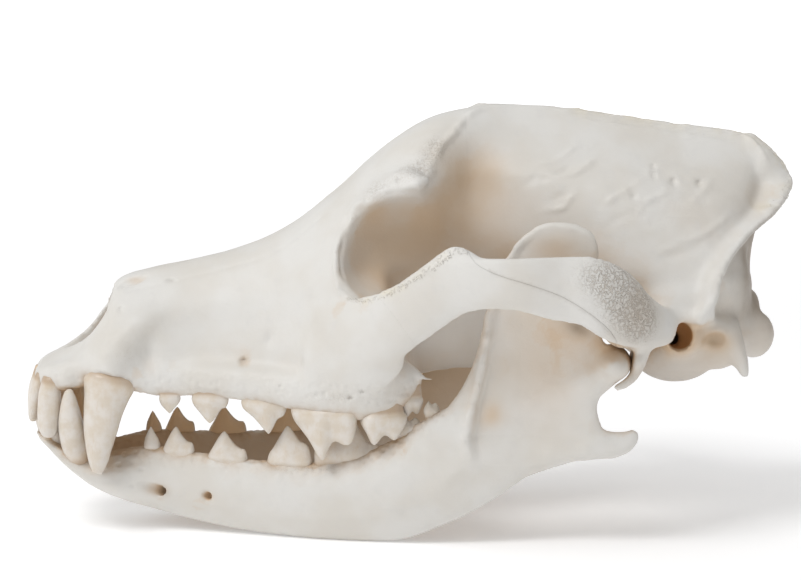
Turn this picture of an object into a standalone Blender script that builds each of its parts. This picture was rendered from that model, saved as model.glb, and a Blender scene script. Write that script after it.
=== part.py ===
# Skull of a large dog with its lower jaw, life size, resting on the lower borders of the jaw.
# The nose points to -X, the animal's left side to -Y, up is +Z. All sizes below are millimetres.

import math
import bmesh
import bpy
import numpy as np
from mathutils import Matrix, Vector

MM = 0.001

# Fineness of the forms and the count of triangles kept in each bone
VOXEL = 1.15
SMOOTHING = 6
KEPT = {"cranium": 6600, "jaw": 1350}

# Width of the seams between bones, and the level the jaw rests at
SEAM = 0.34
FLAT_LEVEL = -0.75

# The exact solver leaves two open edges where the teeth join the upper jaw, this one none
SOLVER = "MANIFOLD"

# Half widths of the skull
ARCH_HALF_WIDTH = 60.5
BRAINCASE_HALF_WIDTH = 32.5
MUZZLE_HALF_WIDTH = 21.5
CHEEK_TOOTH_HALF_WIDTH = 38.0

# How square the cross sections are: 2 is an ellipse
MUZZLE_SQUARENESS = 3.0
VAULT_SQUARENESS = 2.8
JAW_SQUARENESS = 2.6

# Muzzle sections: foot x, head x, foot z, head z, four half widths upwards
MUZZLE = (
    (-113.0, -112.0, 47.5, 51.5, 7.0, 8.5, 8.0, 5.0),
    (-106.0, -105.5, 46.5, 54.8, 14.0, 15.0, 13.5, 9.0),
    (-99.5, -99.5, 47.0, 59.0, 17.5, 18.5, 16.5, 10.5),
    (-94.0, -93.0, 48.5, 67.0, 19.5, 21.0, 17.5, 9.5),
    (-88.0, -88.0, 48.5, 76.2, 20.0, MUZZLE_HALF_WIDTH, 16.5, 8.0),
    (-77.0, -77.0, 47.0, 80.0, 19.0, 20.0, 16.0, 8.5),
    (-64.0, -64.0, 45.5, 82.5, 20.5, 20.0, 16.0, 9.5),
    (-52.0, -52.0, 45.0, 85.3, 24.0, 22.0, 17.5, 11.0),
    (-40.0, -40.0, 44.5, 89.8, 29.0, 26.5, 20.0, 12.5),
    (-28.0, -28.0, 44.0, 96.7, 34.0, 34.5, 28.5, 17.0),
    (-15.0, -21.5, 43.5, 102.0, 35.0, CHEEK_TOOTH_HALF_WIDTH, 35.0, 25.0),
    (-4.0, -17.0, 44.0, 101.0, 33.0, 36.0, 34.0, 24.0),
    (4.0, -10.0, 47.0, 95.0, 28.0, 26.0, 26.0, 18.0),
)

# Forehead and braincase sections, the same columns
VAULT = (
    (-32.0, -32.0, 62.0, 94.2, 13.0, 19.0, 19.0, 9.0),
    (-20.0, -20.0, 64.0, 103.4, 13.0, 20.0, 27.0, 19.0),
    (-8.0, -8.0, 68.0, 114.2, 13.0, 18.0, 29.0, 22.0),
    (3.0, 3.0, 70.0, 122.4, 12.5, 16.5, 29.5, 22.0),
    (12.0, 12.0, 72.0, 127.0, 12.5, 16.0, 22.0, 19.0),
    (22.0, 22.0, 73.0, 129.3, 12.5, 16.5, 18.5, 12.0),
    (32.0, 32.0, 70.0, 130.5, 13.5, 18.5, 18.0, 4.6),
    (43.0, 43.0, 66.0, 130.4, 17.0, 23.5, 19.5, 2.6),
    (56.0, 56.0, 61.0, 129.2, 23.0, 29.5, 22.0, 2.4),
    (70.0, 70.0, 58.0, 127.2, 26.0, BRAINCASE_HALF_WIDTH, 24.0, 2.4),
    (84.0, 84.0, 57.0, 125.0, 26.5, BRAINCASE_HALF_WIDTH, 23.0, 2.4),
    (95.0, 98.0, 56.5, 123.3, 26.0, 31.0, 20.5, 2.6),
    (103.0, 108.0, 57.0, 121.0, 23.0, 25.5, 16.0, 3.4),
    (107.0, 112.5, 59.0, 117.5, 15.0, 17.0, 10.0, 4.0),
)

# Base of the skull between palate and back of the head, the same columns
KEEL = (
    (-20.0, -20.0, 46.0, 80.0, 13.0, 13.0, 13.0, 13.0),
    (2.0, 2.0, 56.0, 88.0, 11.0, 11.0, 12.0, 13.0),
    (20.0, 20.0, 60.0, 88.0, 11.0, 11.0, 12.0, 13.0),
    (38.0, 38.0, 60.5, 88.0, 12.5, 13.5, 15.0, 17.0),
    (55.0, 55.0, 60.0, 84.0, 15.0, 18.0, 22.0, 24.0),
    (75.0, 75.0, 57.5, 78.0, 15.0, 18.0, 24.0, 26.0),
    (92.0, 92.0, 54.0, 74.0, 15.0, 18.0, 22.0, 24.0),
    (104.0, 104.0, 51.0, 72.0, 15.5, 17.5, 17.5, 16.0),
    (110.0, 112.5, 50.5, 71.0, 14.5, 15.5, 14.5, 9.0),
)

# Cheek arch on the left: x, y, z, half thickness, half height, lean in degrees
ARCH = (
    (-24.0, -30.0, 63.0, 6.0, 12.5, 0.0),
    (-12.0, -41.0, 65.5, 4.6, 11.5, 0.0),
    (-1.0, -47.5, 72.5, 3.6, 9.6, -8.0),
    (10.0, -53.0, 80.8, 2.9, 9.4, -10.0),
    (20.0, -57.0, 83.0, 2.7, 8.2, -8.0),
    (31.0, -59.2, 83.2, 2.7, 8.4, -4.0),
    (43.0, -ARCH_HALF_WIDTH + 2.8, 81.2, 2.8, 10.4, 0.0),
    (53.0, -57.3, 78.6, 3.0, 12.2, 4.0),
    (62.0, -54.0, 74.0, 3.2, 11.6, 8.0),
    (70.0, -47.5, 69.6, 3.4, 8.6, 8.0),
    (77.0, -38.0, 66.6, 3.8, 6.2, 6.0),
    (82.0, -27.0, 66.0, 4.0, 5.0, 0.0),
)

# Smaller bars of bone on the left: the same columns as the arch
BROW_PROCESS = (
    (-10.0, -17.0, 106.0, 6.0, 5.0, 0.0),
    (1.0, -25.0, 109.5, 4.6, 4.0, 0.0),
    (4.4, -31.0, 108.6, 2.4, 2.0, 0.0),
)
ORBIT_BROW = (
    (-16.0, -21.0, 98.5, 2.6, 3.4, 0.0),
    (-10.0, -23.5, 103.5, 2.6, 2.6, 0.0),
    (-3.0, -25.6, 107.0, 2.6, 2.2, 0.0),
    (3.0, -29.0, 108.6, 2.4, 2.0, 0.0),
)
CHEEK_PEAK = (
    (6.0, -50.8, 84.0, 2.6, 4.5, 0.0),
    (12.6, -53.6, 91.3, 2.0, 2.6, 0.0),
    (19.0, -56.5, 88.0, 2.4, 3.4, 0.0),
)
JOINT_ROOF = (
    (66.0, -22.0, 66.0, 6.6, 4.0, 0.0),
    (66.0, -34.0, 66.0, 7.0, 3.8, 0.0),
    (64.5, -50.0, 66.0, 7.0, 4.4, 0.0),
)
JOINT_HOOK = (
    (70.0, -31.0, 57.0, 1.9, 5.6, 20.0),
    (68.9, -39.0, 56.0, 1.8, 6.6, 20.0),
    (68.6, -46.0, 56.4, 1.7, 6.2, 20.0),
    (68.8, -50.5, 59.5, 1.5, 3.6, 20.0),
)
PTERYGOID = (
    (-2.0, -11.5, 52.5, 1.6, 8.0, 0.0),
    (10.0, -11.0, 54.0, 1.3, 7.0, 0.0),
    (22.0, -10.5, 55.0, 1.3, 7.0, 0.0),
    (31.0, -10.5, 57.0, 1.5, 6.0, 0.0),
    (38.0, -10.5, 61.0, 1.6, 3.0, 0.0),
)
TOOTH_RIDGE = (
    (-106.0, -13.0, 50.0, 3.4, 4.2, 0.0),
    (-91.0, -18.0, 53.5, 4.6, 5.4, 0.0),
    (-80.0, -18.2, 51.5, 3.8, 5.2, 0.0),
    (-72.0, -18.8, 49.2, 3.8, 5.4, 0.0),
    (-60.0, -21.0, 48.2, 4.2, 5.6, 0.0),
    (-43.0, -26.0, 47.2, 4.8, 6.0, 0.0),
    (-30.0, -31.4, 46.2, 5.6, 6.2, 0.0),
    (-18.0, -34.2, 44.6, 5.4, 6.6, 0.0),
    (-8.0, -34.0, 44.2, 4.8, 6.4, 0.0),
    (0.0, -31.0, 47.5, 4.0, 4.2, 0.0),
    (4.0, -28.0, 51.0, 2.4, 2.4, 0.0),
)
TOOTH_TUBER = (
    (-14.0, -30.0, 48.0, 7.0, 7.0, 0.0),
    (-4.0, -29.5, 49.0, 6.5, 6.0, 0.0),
    (3.5, -27.5, 50.5, 4.0, 4.0, 0.0),
)
CANINE_BULGE = (
    (-95.0, -17.5, 48.5, 6.0, 6.0, 0.0),
    (-90.0, -17.0, 56.0, 6.2, 6.4, 0.0),
    (-82.0, -15.5, 63.0, 5.0, 5.6, 0.0),
    (-73.0, -13.5, 67.0, 3.0, 3.5, 0.0),
)
NECK_CREST = (
    (108.0, 0.0, 118.0, 4.0, 3.6, 0.0),
    (114.6, -2.5, 112.0, 5.6, 3.6, 0.0),
    (116.0, -6.5, 104.5, 6.0, 3.2, 0.0),
    (111.5, -14.0, 98.0, 5.2, 2.8, 0.0),
    (104.5, -21.5, 92.0, 4.4, 2.6, 0.0),
    (99.0, -27.5, 86.5, 3.8, 2.6, 0.0),
    (94.8, -32.0, 79.5, 3.6, 2.8, 0.0),
    (93.0, -33.5, 72.5, 3.6, 3.2, 0.0),
    (90.5, -33.0, 66.5, 3.4, 2.6, 0.0),
)
EAR_SHELF = (
    (72.0, -37.0, 68.0, 5.6, 3.0, 0.0),
    (80.0, -31.5, 68.5, 5.6, 2.8, 0.0),
    (87.0, -30.5, 68.5, 5.6, 2.8, 0.0),
    (93.5, -30.5, 69.5, 5.2, 3.0, 0.0),
)
THROAT_PROCESS = (
    (99.0, -24.5, 66.0, 4.5, 4.0, 0.0),
    (102.0, -26.5, 58.5, 3.0, 2.6, 0.0),
    (103.8, -27.3, 52.5, 2.0, 1.8, 0.0),
    (104.8, -27.5, 47.8, 1.1, 1.1, 0.0),
)

# Rounded lumps on the left: centre, half sizes
LUMPS = (
    ((84.0, -17.0, 55.0), (13.5, 10.5, 9.6)),
    ((84.0, -27.5, 61.5), (7.5, 7.0, 6.5)),
    ((109.5, -11.5, 58.8), (6.6, 5.0, 7.6)),
    ((95.0, -24.5, 62.5), (7.6, 7.2, 6.0)),
)

# Hollows: nose halves, brain, nerve hole, all as sections with the columns of the muzzle
NOSE_HOLLOW = (
    (-110.0, -94.0, 56.5, 78.0, 3.0, 5.0, 5.0, 3.0),
    (-98.0, -90.5, 53.5, 75.0, 7.5, 9.8, 9.0, 5.0),
    (-89.0, -85.0, 52.5, 73.5, 8.5, 10.6, 9.6, 6.0),
    (-82.0, -80.0, 54.0, 72.0, 6.5, 8.5, 7.5, 5.0),
    (-78.0, -77.0, 58.0, 68.0, 3.0, 4.0, 4.0, 3.0),
)
THROAT_HOLLOW = (
    (-9.0, -9.0, 51.0, 58.0, 4.0, 5.0, 5.0, 3.0),
    (-2.0, -2.0, 49.0, 61.0, 7.0, 8.0, 7.5, 5.0),
    (10.0, 10.0, 46.0, 60.5, 8.0, 8.5, 8.0, 5.0),
    (26.0, 26.0, 42.0, 59.0, 8.5, 8.8, 8.0, 5.0),
)
SKULL_WALL = 2.2
CREST_DEPTH = 10.5
BRAIN_SPAN = (24.0, 104.5)
BRAIN_TAPER = ((24.0, 4.4), (36.0, 0.0), (96.0, 0.0), (104.5, 10.0))
NERVE_TUNNEL = (
    (94.0, 0.0, 69.0, 7.6, 5.0, 0.0),
    (103.0, 0.0, 64.8, 9.6, 7.2, 0.0),
    (112.0, 0.0, 60.6, 10.2, 7.8, 0.0),
    (126.0, 0.0, 59.0, 10.6, 8.2, 0.0),
)

# Eye socket and other pits cut into the left side: centre, half sizes
SOCKETS = (
    ((-1.5, -43.0, 91.0), (21.0, 28.0, 16.5)),
    ((-8.0, -43.0, 86.0), (13.0, 26.0, 11.5)),
)
PITS = (
    ((83.0, -32.0, 62.6), (3.4, 10.0, 3.6)),
    ((84.5, -17.6, 56.0), (11.0, 8.4, 7.2)),
    ((93.4, -33.0, 61.0), (3.2, 4.6, 2.8)),
)

# Soft dents pressed into the left side: centre, reach, push
DENTS = (
    ((24.0, -24.0, 101.0), (16.0, 16.0, 20.0), (0.0, 2.6, 0.0)),
    ((-62.0, -21.0, 62.0), (16.0, 10.0, 10.0), (0.0, 1.6, 0.0)),
    ((-38.0, -30.0, 66.0), (14.0, 12.0, 12.0), (0.0, 1.8, 0.0)),
    ((108.0, -16.0, 84.0), (9.0, 10.0, 10.0), (-2.5, 0.0, 0.0)),
    ((-40.0, -9.0, 44.0), (55.0, 16.0, 8.0), (0.0, 0.0, 2.8)),
)

# Lower jaw body on the left: foot x, head x, foot z, head z, four half widths, foot y, head y
JAW_BODY = (
    (-110.0, -114.5, 25.0, 31.0, 4.0, 5.5, 6.0, 5.0, -4.0, -5.5),
    (-104.0, -107.5, 18.5, 28.0, 6.5, 8.5, 9.5, 8.0, -5.5, -8.5),
    (-96.5, -99.0, 12.5, 23.5, 6.5, 9.5, 10.0, 7.5, -6.5, -9.0),
    (-88.0, -90.0, 8.5, 24.0, 6.0, 9.0, 8.5, 5.5, -7.5, -9.8),
    (-78.0, -79.5, 5.6, 26.0, 5.2, 7.5, 6.8, 4.6, -9.0, -11.5),
    (-69.0, -70.0, 3.2, 25.4, 4.6, 6.4, 5.8, 4.2, -11.0, -14.0),
    (-54.0, -55.0, 0.6, 23.8, 4.8, 6.6, 6.2, 4.4, -15.5, -18.5),
    (-38.5, -38.5, -0.8, 23.2, 4.8, 6.9, 6.6, 4.8, -20.5, -23.5),
    (-23.0, -22.0, -1.3, 24.0, 4.8, 7.1, 6.7, 5.0, -25.5, -27.5),
    (-8.0, -6.0, -1.5, 30.4, 4.6, 6.6, 6.5, 4.8, -29.8, -31.5),
    (0.5, 3.0, -1.1, 36.6, 4.4, 5.8, 6.0, 4.8, -32.0, -33.6),
    (8.5, 10.0, 2.8, 41.2, 3.9, 5.2, 5.4, 4.6, -34.0, -35.8),
    (20.0, 20.0, 9.2, 44.0, 3.2, 4.0, 4.2, 3.6, -36.5, -37.5),
    (34.0, 30.0, 19.0, 44.0, 2.6, 3.0, 3.2, 3.0, -39.0, -39.0),
)

# Upright plate of the left jaw: z, front x, rear x, four half widths backwards, front y, rear y
JAW_PLATE = (
    (12.0, -4.0, 21.0, 3.0, 4.5, 3.6, 2.4, -33.0, -36.0),
    (20.0, -2.0, 35.5, 3.0, 4.6, 3.0, 2.2, -35.0, -38.5),
    (28.0, 1.0, 55.0, 3.2, 4.4, 2.6, 2.4, -36.0, -42.0),
    (36.0, 4.0, 58.5, 3.2, 4.4, 2.4, 2.6, -37.0, -43.5),
    (43.0, 12.0, 57.0, 3.0, 4.2, 2.2, 2.8, -38.0, -44.5),
    (52.0, 17.5, 59.0, 3.0, 4.0, 2.0, 2.6, -39.0, -44.5),
    (62.0, 20.8, 59.0, 3.0, 3.6, 1.9, 2.0, -40.0, -43.0),
    (72.0, 23.3, 56.5, 2.8, 3.0, 1.8, 1.7, -41.0, -42.5),
    (82.0, 26.5, 57.0, 2.4, 2.4, 1.8, 1.6, -40.5, -41.5),
    (90.0, 30.5, 57.0, 2.0, 2.2, 1.9, 1.6, -39.5, -40.5),
    (95.5, 35.5, 55.5, 1.6, 2.0, 1.9, 1.6, -38.5, -39.5),
    (98.4, 41.5, 50.0, 1.2, 1.4, 1.4, 1.2, -38.0, -38.5),
)
JAW_ANGLE = (
    (40.0, -41.0, 32.0, 2.4, 6.5, 0.0),
    (54.0, -43.0, 31.6, 2.6, 5.3, 0.0),
    (62.5, -43.6, 31.4, 2.4, 4.2, 0.0),
    (66.6, -44.0, 33.4, 2.0, 3.0, 0.0),
    (68.0, -44.2, 36.0, 1.3, 1.5, 0.0),
)
JAW_NECK = (
    (47.0, -44.0, 46.0, 3.0, 6.0, 0.0),
    (55.0, -44.5, 51.0, 3.4, 5.4, 0.0),
    (60.5, -44.0, 54.5, 5.0, 4.4, 0.0),
)
JAW_JOINT = ((60.8, -40.5, 57.3), (4.9, 11.5, 5.0))
JAW_DENTS = (
    ((40.0, -47.0, 50.0), (14.0, 9.0, 20.0), (0.0, 1.3, 0.0)),
)

# Teeth of the left side. Length, width, height, then x, y, z of the neck, turn of the row in degrees,
# lean to the nose, lean outwards, depth of the root
INCISOR = "incisor"
CANINE = "canine"
BLADE = "blade"
MOLAR = "molar"
UPPER_TEETH = (
    (INCISOR, 5.2, 6.2, 12.5, -112.6, -3.2, 47.6, 4.0, 20.0, 0.0, 4.0),
    (INCISOR, 5.8, 7.2, 13.2, -111.4, -9.2, 47.4, 18.0, 19.0, 4.0, 4.0),
    (INCISOR, 8.0, 7.6, 17.5, -108.0, -14.2, 47.2, 40.0, 8.0, 5.0, 5.0),
    (CANINE, 13.4, 9.0, 30.0, -91.6, -19.4, 49.0, 8.0, 12.0, 9.0, 10.0),
    (BLADE, 7.0, 4.6, 6.0, -72.0, -19.6, 44.0, 6.0, 0.0, 0.0, 4.0),
    (BLADE, 11.8, 5.0, 8.0, -59.6, -21.8, 43.0, 10.0, 0.0, 0.0, 4.5),
    (BLADE, 14.6, 6.0, 9.6, -43.2, -26.6, 42.0, 16.0, 0.0, 0.0, 5.0),
    (BLADE, 20.8, 8.4, 14.6, -25.2, -33.6, 40.4, 17.0, 0.0, 4.0, 6.0),
    (MOLAR, 13.4, 16.0, 7.4, -7.8, -31.0, 39.4, -10.0, 0.0, 0.0, 5.0),
    (MOLAR, 6.8, 10.5, 4.4, 0.9, -29.0, 43.6, -12.0, 0.0, 0.0, 3.6),
)
LOWER_TEETH = (
    (INCISOR, 4.0, 4.2, 7.6, -111.6, -2.6, 30.0, 0.0, 12.0, 0.0, 3.0),
    (INCISOR, 4.4, 4.8, 8.4, -110.4, -6.8, 29.2, 14.0, 10.0, 2.0, 3.0),
    (INCISOR, 4.8, 4.8, 8.4, -106.4, -10.0, 27.4, 34.0, 4.0, 2.0, 3.0),
    (CANINE, 11.0, 8.4, 23.6, -100.2, -13.8, 21.6, 8.0, 12.0, 15.0, 5.0),
    (BLADE, 5.0, 4.0, 6.2, -77.8, -12.0, 25.2, 8.0, 0.0, 0.0, 4.0),
    (BLADE, 9.6, 4.6, 7.6, -69.6, -14.4, 24.6, 12.0, 0.0, 0.0, 4.5),
    (BLADE, 12.6, 5.4, 8.4, -54.5, -18.8, 23.0, 16.0, 0.0, 0.0, 5.0),
    (BLADE, 13.2, 6.0, 11.4, -35.6, -24.0, 22.6, 16.0, 0.0, 0.0, 5.0),
    (BLADE, 22.6, 6.6, 13.2, -17.2, -27.4, 24.4, 13.0, 0.0, -4.0, 6.0),
    (MOLAR, 8.6, 6.6, 5.6, 0.6, -31.0, 32.6, 8.0, 0.0, 0.0, 4.0),
    (MOLAR, 4.8, 4.6, 3.6, 7.6, -33.2, 39.6, 8.0, 0.0, 0.0, 3.4),
)
TOOTH_VARIATION = 0.035

# Peg teeth: share of the height and of the width; the crown curls back by a share of its length
PEG_LEVELS = ((0.0, 0.80), (0.25, 1.0), (0.55, 0.86), (0.80, 0.58), (0.94, 0.30))
PEG_ROOT_WIDTH = 0.55
PEG_SIDES = 6
PEG_CURL = {INCISOR: 0.10, CANINE: 0.22}

# Blades and grinders: share along or across the tooth, share of the height
BLADE_OUTLINE = ((-0.48, 0.20), (-0.28, 0.50), (-0.06, 1.0), (0.12, 0.56), (0.30, 0.46), (0.48, 0.16))
BLADE_WIDTHS = (0.36, 0.5, 0.42, 0.14)
BLADE_TAPER = 1.1
MOLAR_OUTLINE = ((-0.48, 0.74), (-0.26, 1.0), (0.0, 0.52), (0.24, 0.74), (0.48, 0.42))
MOLAR_WIDTHS = (0.38, 0.5, 0.46, 0.22)
MOLAR_TAPER = 0.9
TOOTH_SQUARENESS = 2.4

# Bone colours of the nodes
COLOURS = {
    "braincase": (0.86, 0.82, 0.74, 1.0),
    "face": (0.88, 0.85, 0.78, 1.0),
    "cheekbone_left": (0.85, 0.81, 0.72, 1.0),
    "cheekbone_right": (0.85, 0.81, 0.72, 1.0),
    "jaw_left": (0.87, 0.83, 0.75, 1.0),
    "jaw_right": (0.87, 0.83, 0.75, 1.0),
}

# Seams between the bones, as lines in x and z, and how far to the side each reaches
FACE_SEAM = ((19.0, 140.0), (20.0, 110.0), (17.0, 90.0), (16.0, 38.0))
CHEEK_SEAM = ((-14.5, 84.5), (-9.0, 77.5), (-3.0, 70.0), (2.0, 63.0), (8.0, 57.0))
TEMPLE_SEAM = ((14.5, 99.0), (17.5, 90.5), (24.0, 86.6), (34.0, 83.4), (44.0, 79.4), (53.0, 73.6),
               (59.5, 67.0), (62.5, 57.0))
FACE_REACH = (-30.0, 30.0)
CHEEK_REACH = (38.0, 75.0)
TEMPLE_REACH = (46.0, 75.0)

# Where the middle of a bone tells which bone it is
CHEEK_BEYOND = 25.0
FACE_BEFORE = 18.0


# Empty scene
for leftover in list(bpy.data.objects):
    bpy.data.objects.remove(leftover)


# New mesh object from a bmesh
def placed(name, bm):
    bmesh.ops.recalc_face_normals(bm, faces=bm.faces)
    mesh = bpy.data.meshes.new(name)
    bm.to_mesh(mesh)
    bm.free()
    ob = bpy.data.objects.new(name, mesh)
    bpy.context.scene.collection.objects.link(ob)
    return ob


# Rows of numbers made finer along a smooth line through them
def finer(rows, count):
    rows = np.array(rows, float)
    last = len(rows) - 1
    spot = np.linspace(0, last, count)
    k = np.clip(spot.astype(int), 0, last - 1)
    f = (spot - k)[:, None]
    padded = np.vstack([2 * rows[0] - rows[1], rows, 2 * rows[-1] - rows[-2]])
    a, b, c, d = padded[k], padded[k + 1], padded[k + 2], padded[k + 3]
    bend = (2 * a - 5 * b + 4 * c - d) * f**2 + (3 * b - a - 3 * c + d) * f**3
    return 0.5 * (2 * b + (c - a) * f + bend)


# Closed skin through rings of equal count
def skin(name, rings):
    bm = bmesh.new()
    loops = [[bm.verts.new(Vector(p) * MM) for p in ring] for ring in rings]
    count = len(loops[0])
    for near, far in zip(loops, loops[1:]):
        for k in range(count):
            after = (k + 1) % count
            bm.faces.new((near[k], near[after], far[after], far[k]))
    for loop in (loops[0], loops[-1]):
        middle = bm.verts.new(sum((v.co for v in loop), Vector()) / count)
        for k in range(count):
            bm.faces.new((loop[k], middle, loop[(k + 1) % count]))
    return placed(name, bm)


# Body through sections that stand on a low line and reach a high line
def stack(name, rows, rings, sides=40, power=VAULT_SQUARENESS, upright=True):
    turn = np.linspace(0, 2 * math.pi, sides, endpoint=False)
    level = (1 - np.cos(turn)) / 2
    edge = (1 - np.abs(np.cos(turn)) ** power) ** (1 / power) * np.sign(np.round(np.sin(turn), 6))
    out = []
    for row in finer(rows, rings):
        start, end, low, high = row[:4]
        wide = np.interp(level, (0, 1 / 3, 2 / 3, 1), row[4:8])
        middle = row[8] + (row[9] - row[8]) * level if len(row) > 8 else 0.0
        main = start + (end - start) * level
        cross = low + (high - low) * level
        across = middle + wide * edge
        columns = (main, across, cross) if upright else (cross, across, main)
        out.append(np.stack(columns, 1))
    return skin(name, out)


# Plate whose sections lie flat: the columns of the table put in the order of a stack
def plate(name, rows, rings):
    turned = [(r[0], r[0], *r[1:]) for r in rows]
    return stack(name, turned, rings, power=JAW_SQUARENESS, upright=False)


# Bar along a curved line
def bar(name, rows, sides=16):
    rows = finer(rows, 5 * len(rows))
    line = rows[:, :3]
    ahead = np.gradient(line, axis=0)
    ahead /= np.linalg.norm(ahead, axis=1)[:, None]
    turn = np.linspace(0, 2 * math.pi, sides, endpoint=False)
    out = []
    for point, way, row in zip(line, ahead, rows):
        side = np.cross(way, (0.0, 0.0, 1.0))
        side /= max(np.linalg.norm(side), 1e-6)
        up = np.cross(side, way)
        lean = math.radians(row[5])
        thick = side * math.cos(lean) + up * math.sin(lean)
        tall = up * math.cos(lean) - side * math.sin(lean)
        out.append(point + np.outer(np.cos(turn) * row[3], thick) + np.outer(np.sin(turn) * row[4], tall))
    return skin(name, out)


# Rounded lump
def lump(name, centre, half, detail=3):
    bm = bmesh.new()
    bmesh.ops.create_icosphere(bm, subdivisions=detail, radius=1)
    for v in bm.verts:
        v.co = Vector((centre[k] + v.co[k] * half[k] for k in range(3))) * MM
    return placed(name, bm)


# The same form on the other side
def mirrored(ob):
    mesh = ob.data.copy()
    mesh.transform(Matrix.Scale(-1, 4, (0, 1, 0)))
    mesh.flip_normals()
    twin = bpy.data.objects.new(ob.name + "_mirrored", mesh)
    bpy.context.scene.collection.objects.link(twin)
    return twin


# A modifier put on and applied
def applied(ob, kind, **settings):
    modifier = ob.modifiers.new(kind, kind)
    for key, value in settings.items():
        setattr(modifier, key, value)
    graph = bpy.context.evaluated_depsgraph_get()
    mesh = bpy.data.meshes.new_from_object(ob.evaluated_get(graph))
    ob.modifiers.clear()
    ob.data = mesh
    return ob


# Forms melted into one surface
def melted(name, forms):
    bm = bmesh.new()
    for form in forms:
        bm.from_mesh(form.data)
        bpy.data.objects.remove(form)
    ob = placed(name, bm)
    applied(ob, "REMESH", mode="VOXEL", voxel_size=VOXEL * MM)
    return applied(ob, "SMOOTH", iterations=SMOOTHING, factor=0.5)


# Soft dents pressed into a surface
def dented(ob, dents, both):
    count = len(ob.data.vertices)
    co = np.empty(count * 3)
    ob.data.vertices.foreach_get("co", co)
    co = co.reshape(-1, 3) / MM
    for centre, reach, push in dents:
        for side in (1, -1) if both else (1,):
            turn = np.array((1.0, side, 1.0))
            gap = (co - np.array(centre) * turn) / np.array(reach)
            fall = np.exp(-2.0 * (gap**2).sum(axis=1))
            co = co + fall[:, None] * np.array(push) * turn
    ob.data.vertices.foreach_set("co", (co * MM).ravel())
    ob.data.update()
    return ob


# Cutters taken away from a form
def cut(ob, cutters):
    for cutter in cutters:
        applied(ob, "BOOLEAN", operation="DIFFERENCE", solver=SOLVER, object=cutter)
    for cutter in cutters:
        bpy.data.objects.remove(cutter)
    return ob


# Thin wall along a line in x and z, used to part two bones
def parting(name, line, near, far):
    bm = bmesh.new()
    points = np.array(line, float)
    ahead = np.gradient(points, axis=0)
    ahead /= np.linalg.norm(ahead, axis=1)[:, None]
    out = np.stack([-ahead[:, 1], ahead[:, 0]], 1) * SEAM / 2
    loops = []
    for point, step in zip(points, out):
        a, b = point - step, point + step
        ring = ((a[0], near, a[1]), (b[0], near, b[1]), (b[0], far, b[1]), (a[0], far, a[1]))
        loops.append([bm.verts.new(Vector(p) * MM) for p in ring])
    for one, two in zip(loops, loops[1:]):
        for k in range(4):
            bm.faces.new((one[k], one[(k + 1) % 4], two[(k + 1) % 4], two[k]))
    bm.faces.new(loops[0])
    bm.faces.new(loops[-1])
    return placed(name, bm)


# Block between two corners
def block(name, low, high):
    bm = bmesh.new()
    bmesh.ops.create_cube(bm, size=1)
    for v in bm.verts:
        v.co = Vector([(low[k] + (v.co[k] + 0.5) * (high[k] - low[k])) for k in range(3)]) * MM
    return placed(name, bm)


# Closed surfaces of a mesh as objects of their own, largest first
def surfaces(ob):
    bm = bmesh.new()
    bm.from_mesh(ob.data)
    bm.verts.ensure_lookup_table()
    group = [-1] * len(bm.verts)
    total = 0
    for v in bm.verts:
        if group[v.index] >= 0:
            continue
        group[v.index] = total
        todo = [v]
        while todo:
            for edge in todo.pop().link_edges:
                for other in edge.verts:
                    if group[other.index] < 0:
                        group[other.index] = total
                        todo.append(other)
        total += 1
    parts = []
    for number in range(total):
        piece = bm.copy()
        piece.verts.ensure_lookup_table()
        drop = [v for v in piece.verts if group[v.index] != number]
        bmesh.ops.delete(piece, geom=drop, context="VERTS")
        parts.append((abs(piece.calc_volume()), placed(f"{ob.name}_{number}", piece)))
    bm.free()
    bpy.data.objects.remove(ob)
    parts.sort(key=lambda pair: -pair[0])
    return [part for _, part in parts]


def largest(ob):
    name = ob.name
    parts = surfaces(ob)
    for part in parts[1:]:
        bpy.data.objects.remove(part)
    parts[0].name = name
    return parts[0]


# Middle of an object in millimetres
def middle(ob):
    co = [v.co for v in ob.data.vertices]
    return sum(co, Vector()) / len(co) / MM


# One tooth in its own frame: crown up from the neck, nose side to -x
def tooth(name, kind, length, width, height, root):
    if kind in PEG_CURL:
        turn = np.linspace(0, 2 * math.pi, PEG_SIDES, endpoint=False)
        rings = []
        for level, size in ((-root / height, PEG_ROOT_WIDTH), *PEG_LEVELS):
            back = length * PEG_CURL[kind] * level**2
            x = back + np.cos(turn) * length * size / 2
            y = np.sin(turn) * width * size / 2
            rings.append(np.stack([x, y, np.full(PEG_SIDES, level * height)], 1))
        return skin(name, rings)
    blade = kind == BLADE
    outline, widths = (BLADE_OUTLINE, BLADE_WIDTHS) if blade else (MOLAR_OUTLINE, MOLAR_WIDTHS)
    along, across = (length, width) if blade else (width, length)
    taper = BLADE_TAPER if blade else MOLAR_TAPER
    rows = []
    for share, tall in outline:
        fat = across * (1 - taper * share**2)
        rows.append((share * along, share * along, -root, tall * height, *(fat * wide for wide in widths)))
    ob = stack(name, rows, len(outline), sides=6, power=TOOTH_SQUARENESS)
    if not blade:
        ob.data.transform(Matrix.Rotation(math.radians(90), 4, "Z"))
    return ob


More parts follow.
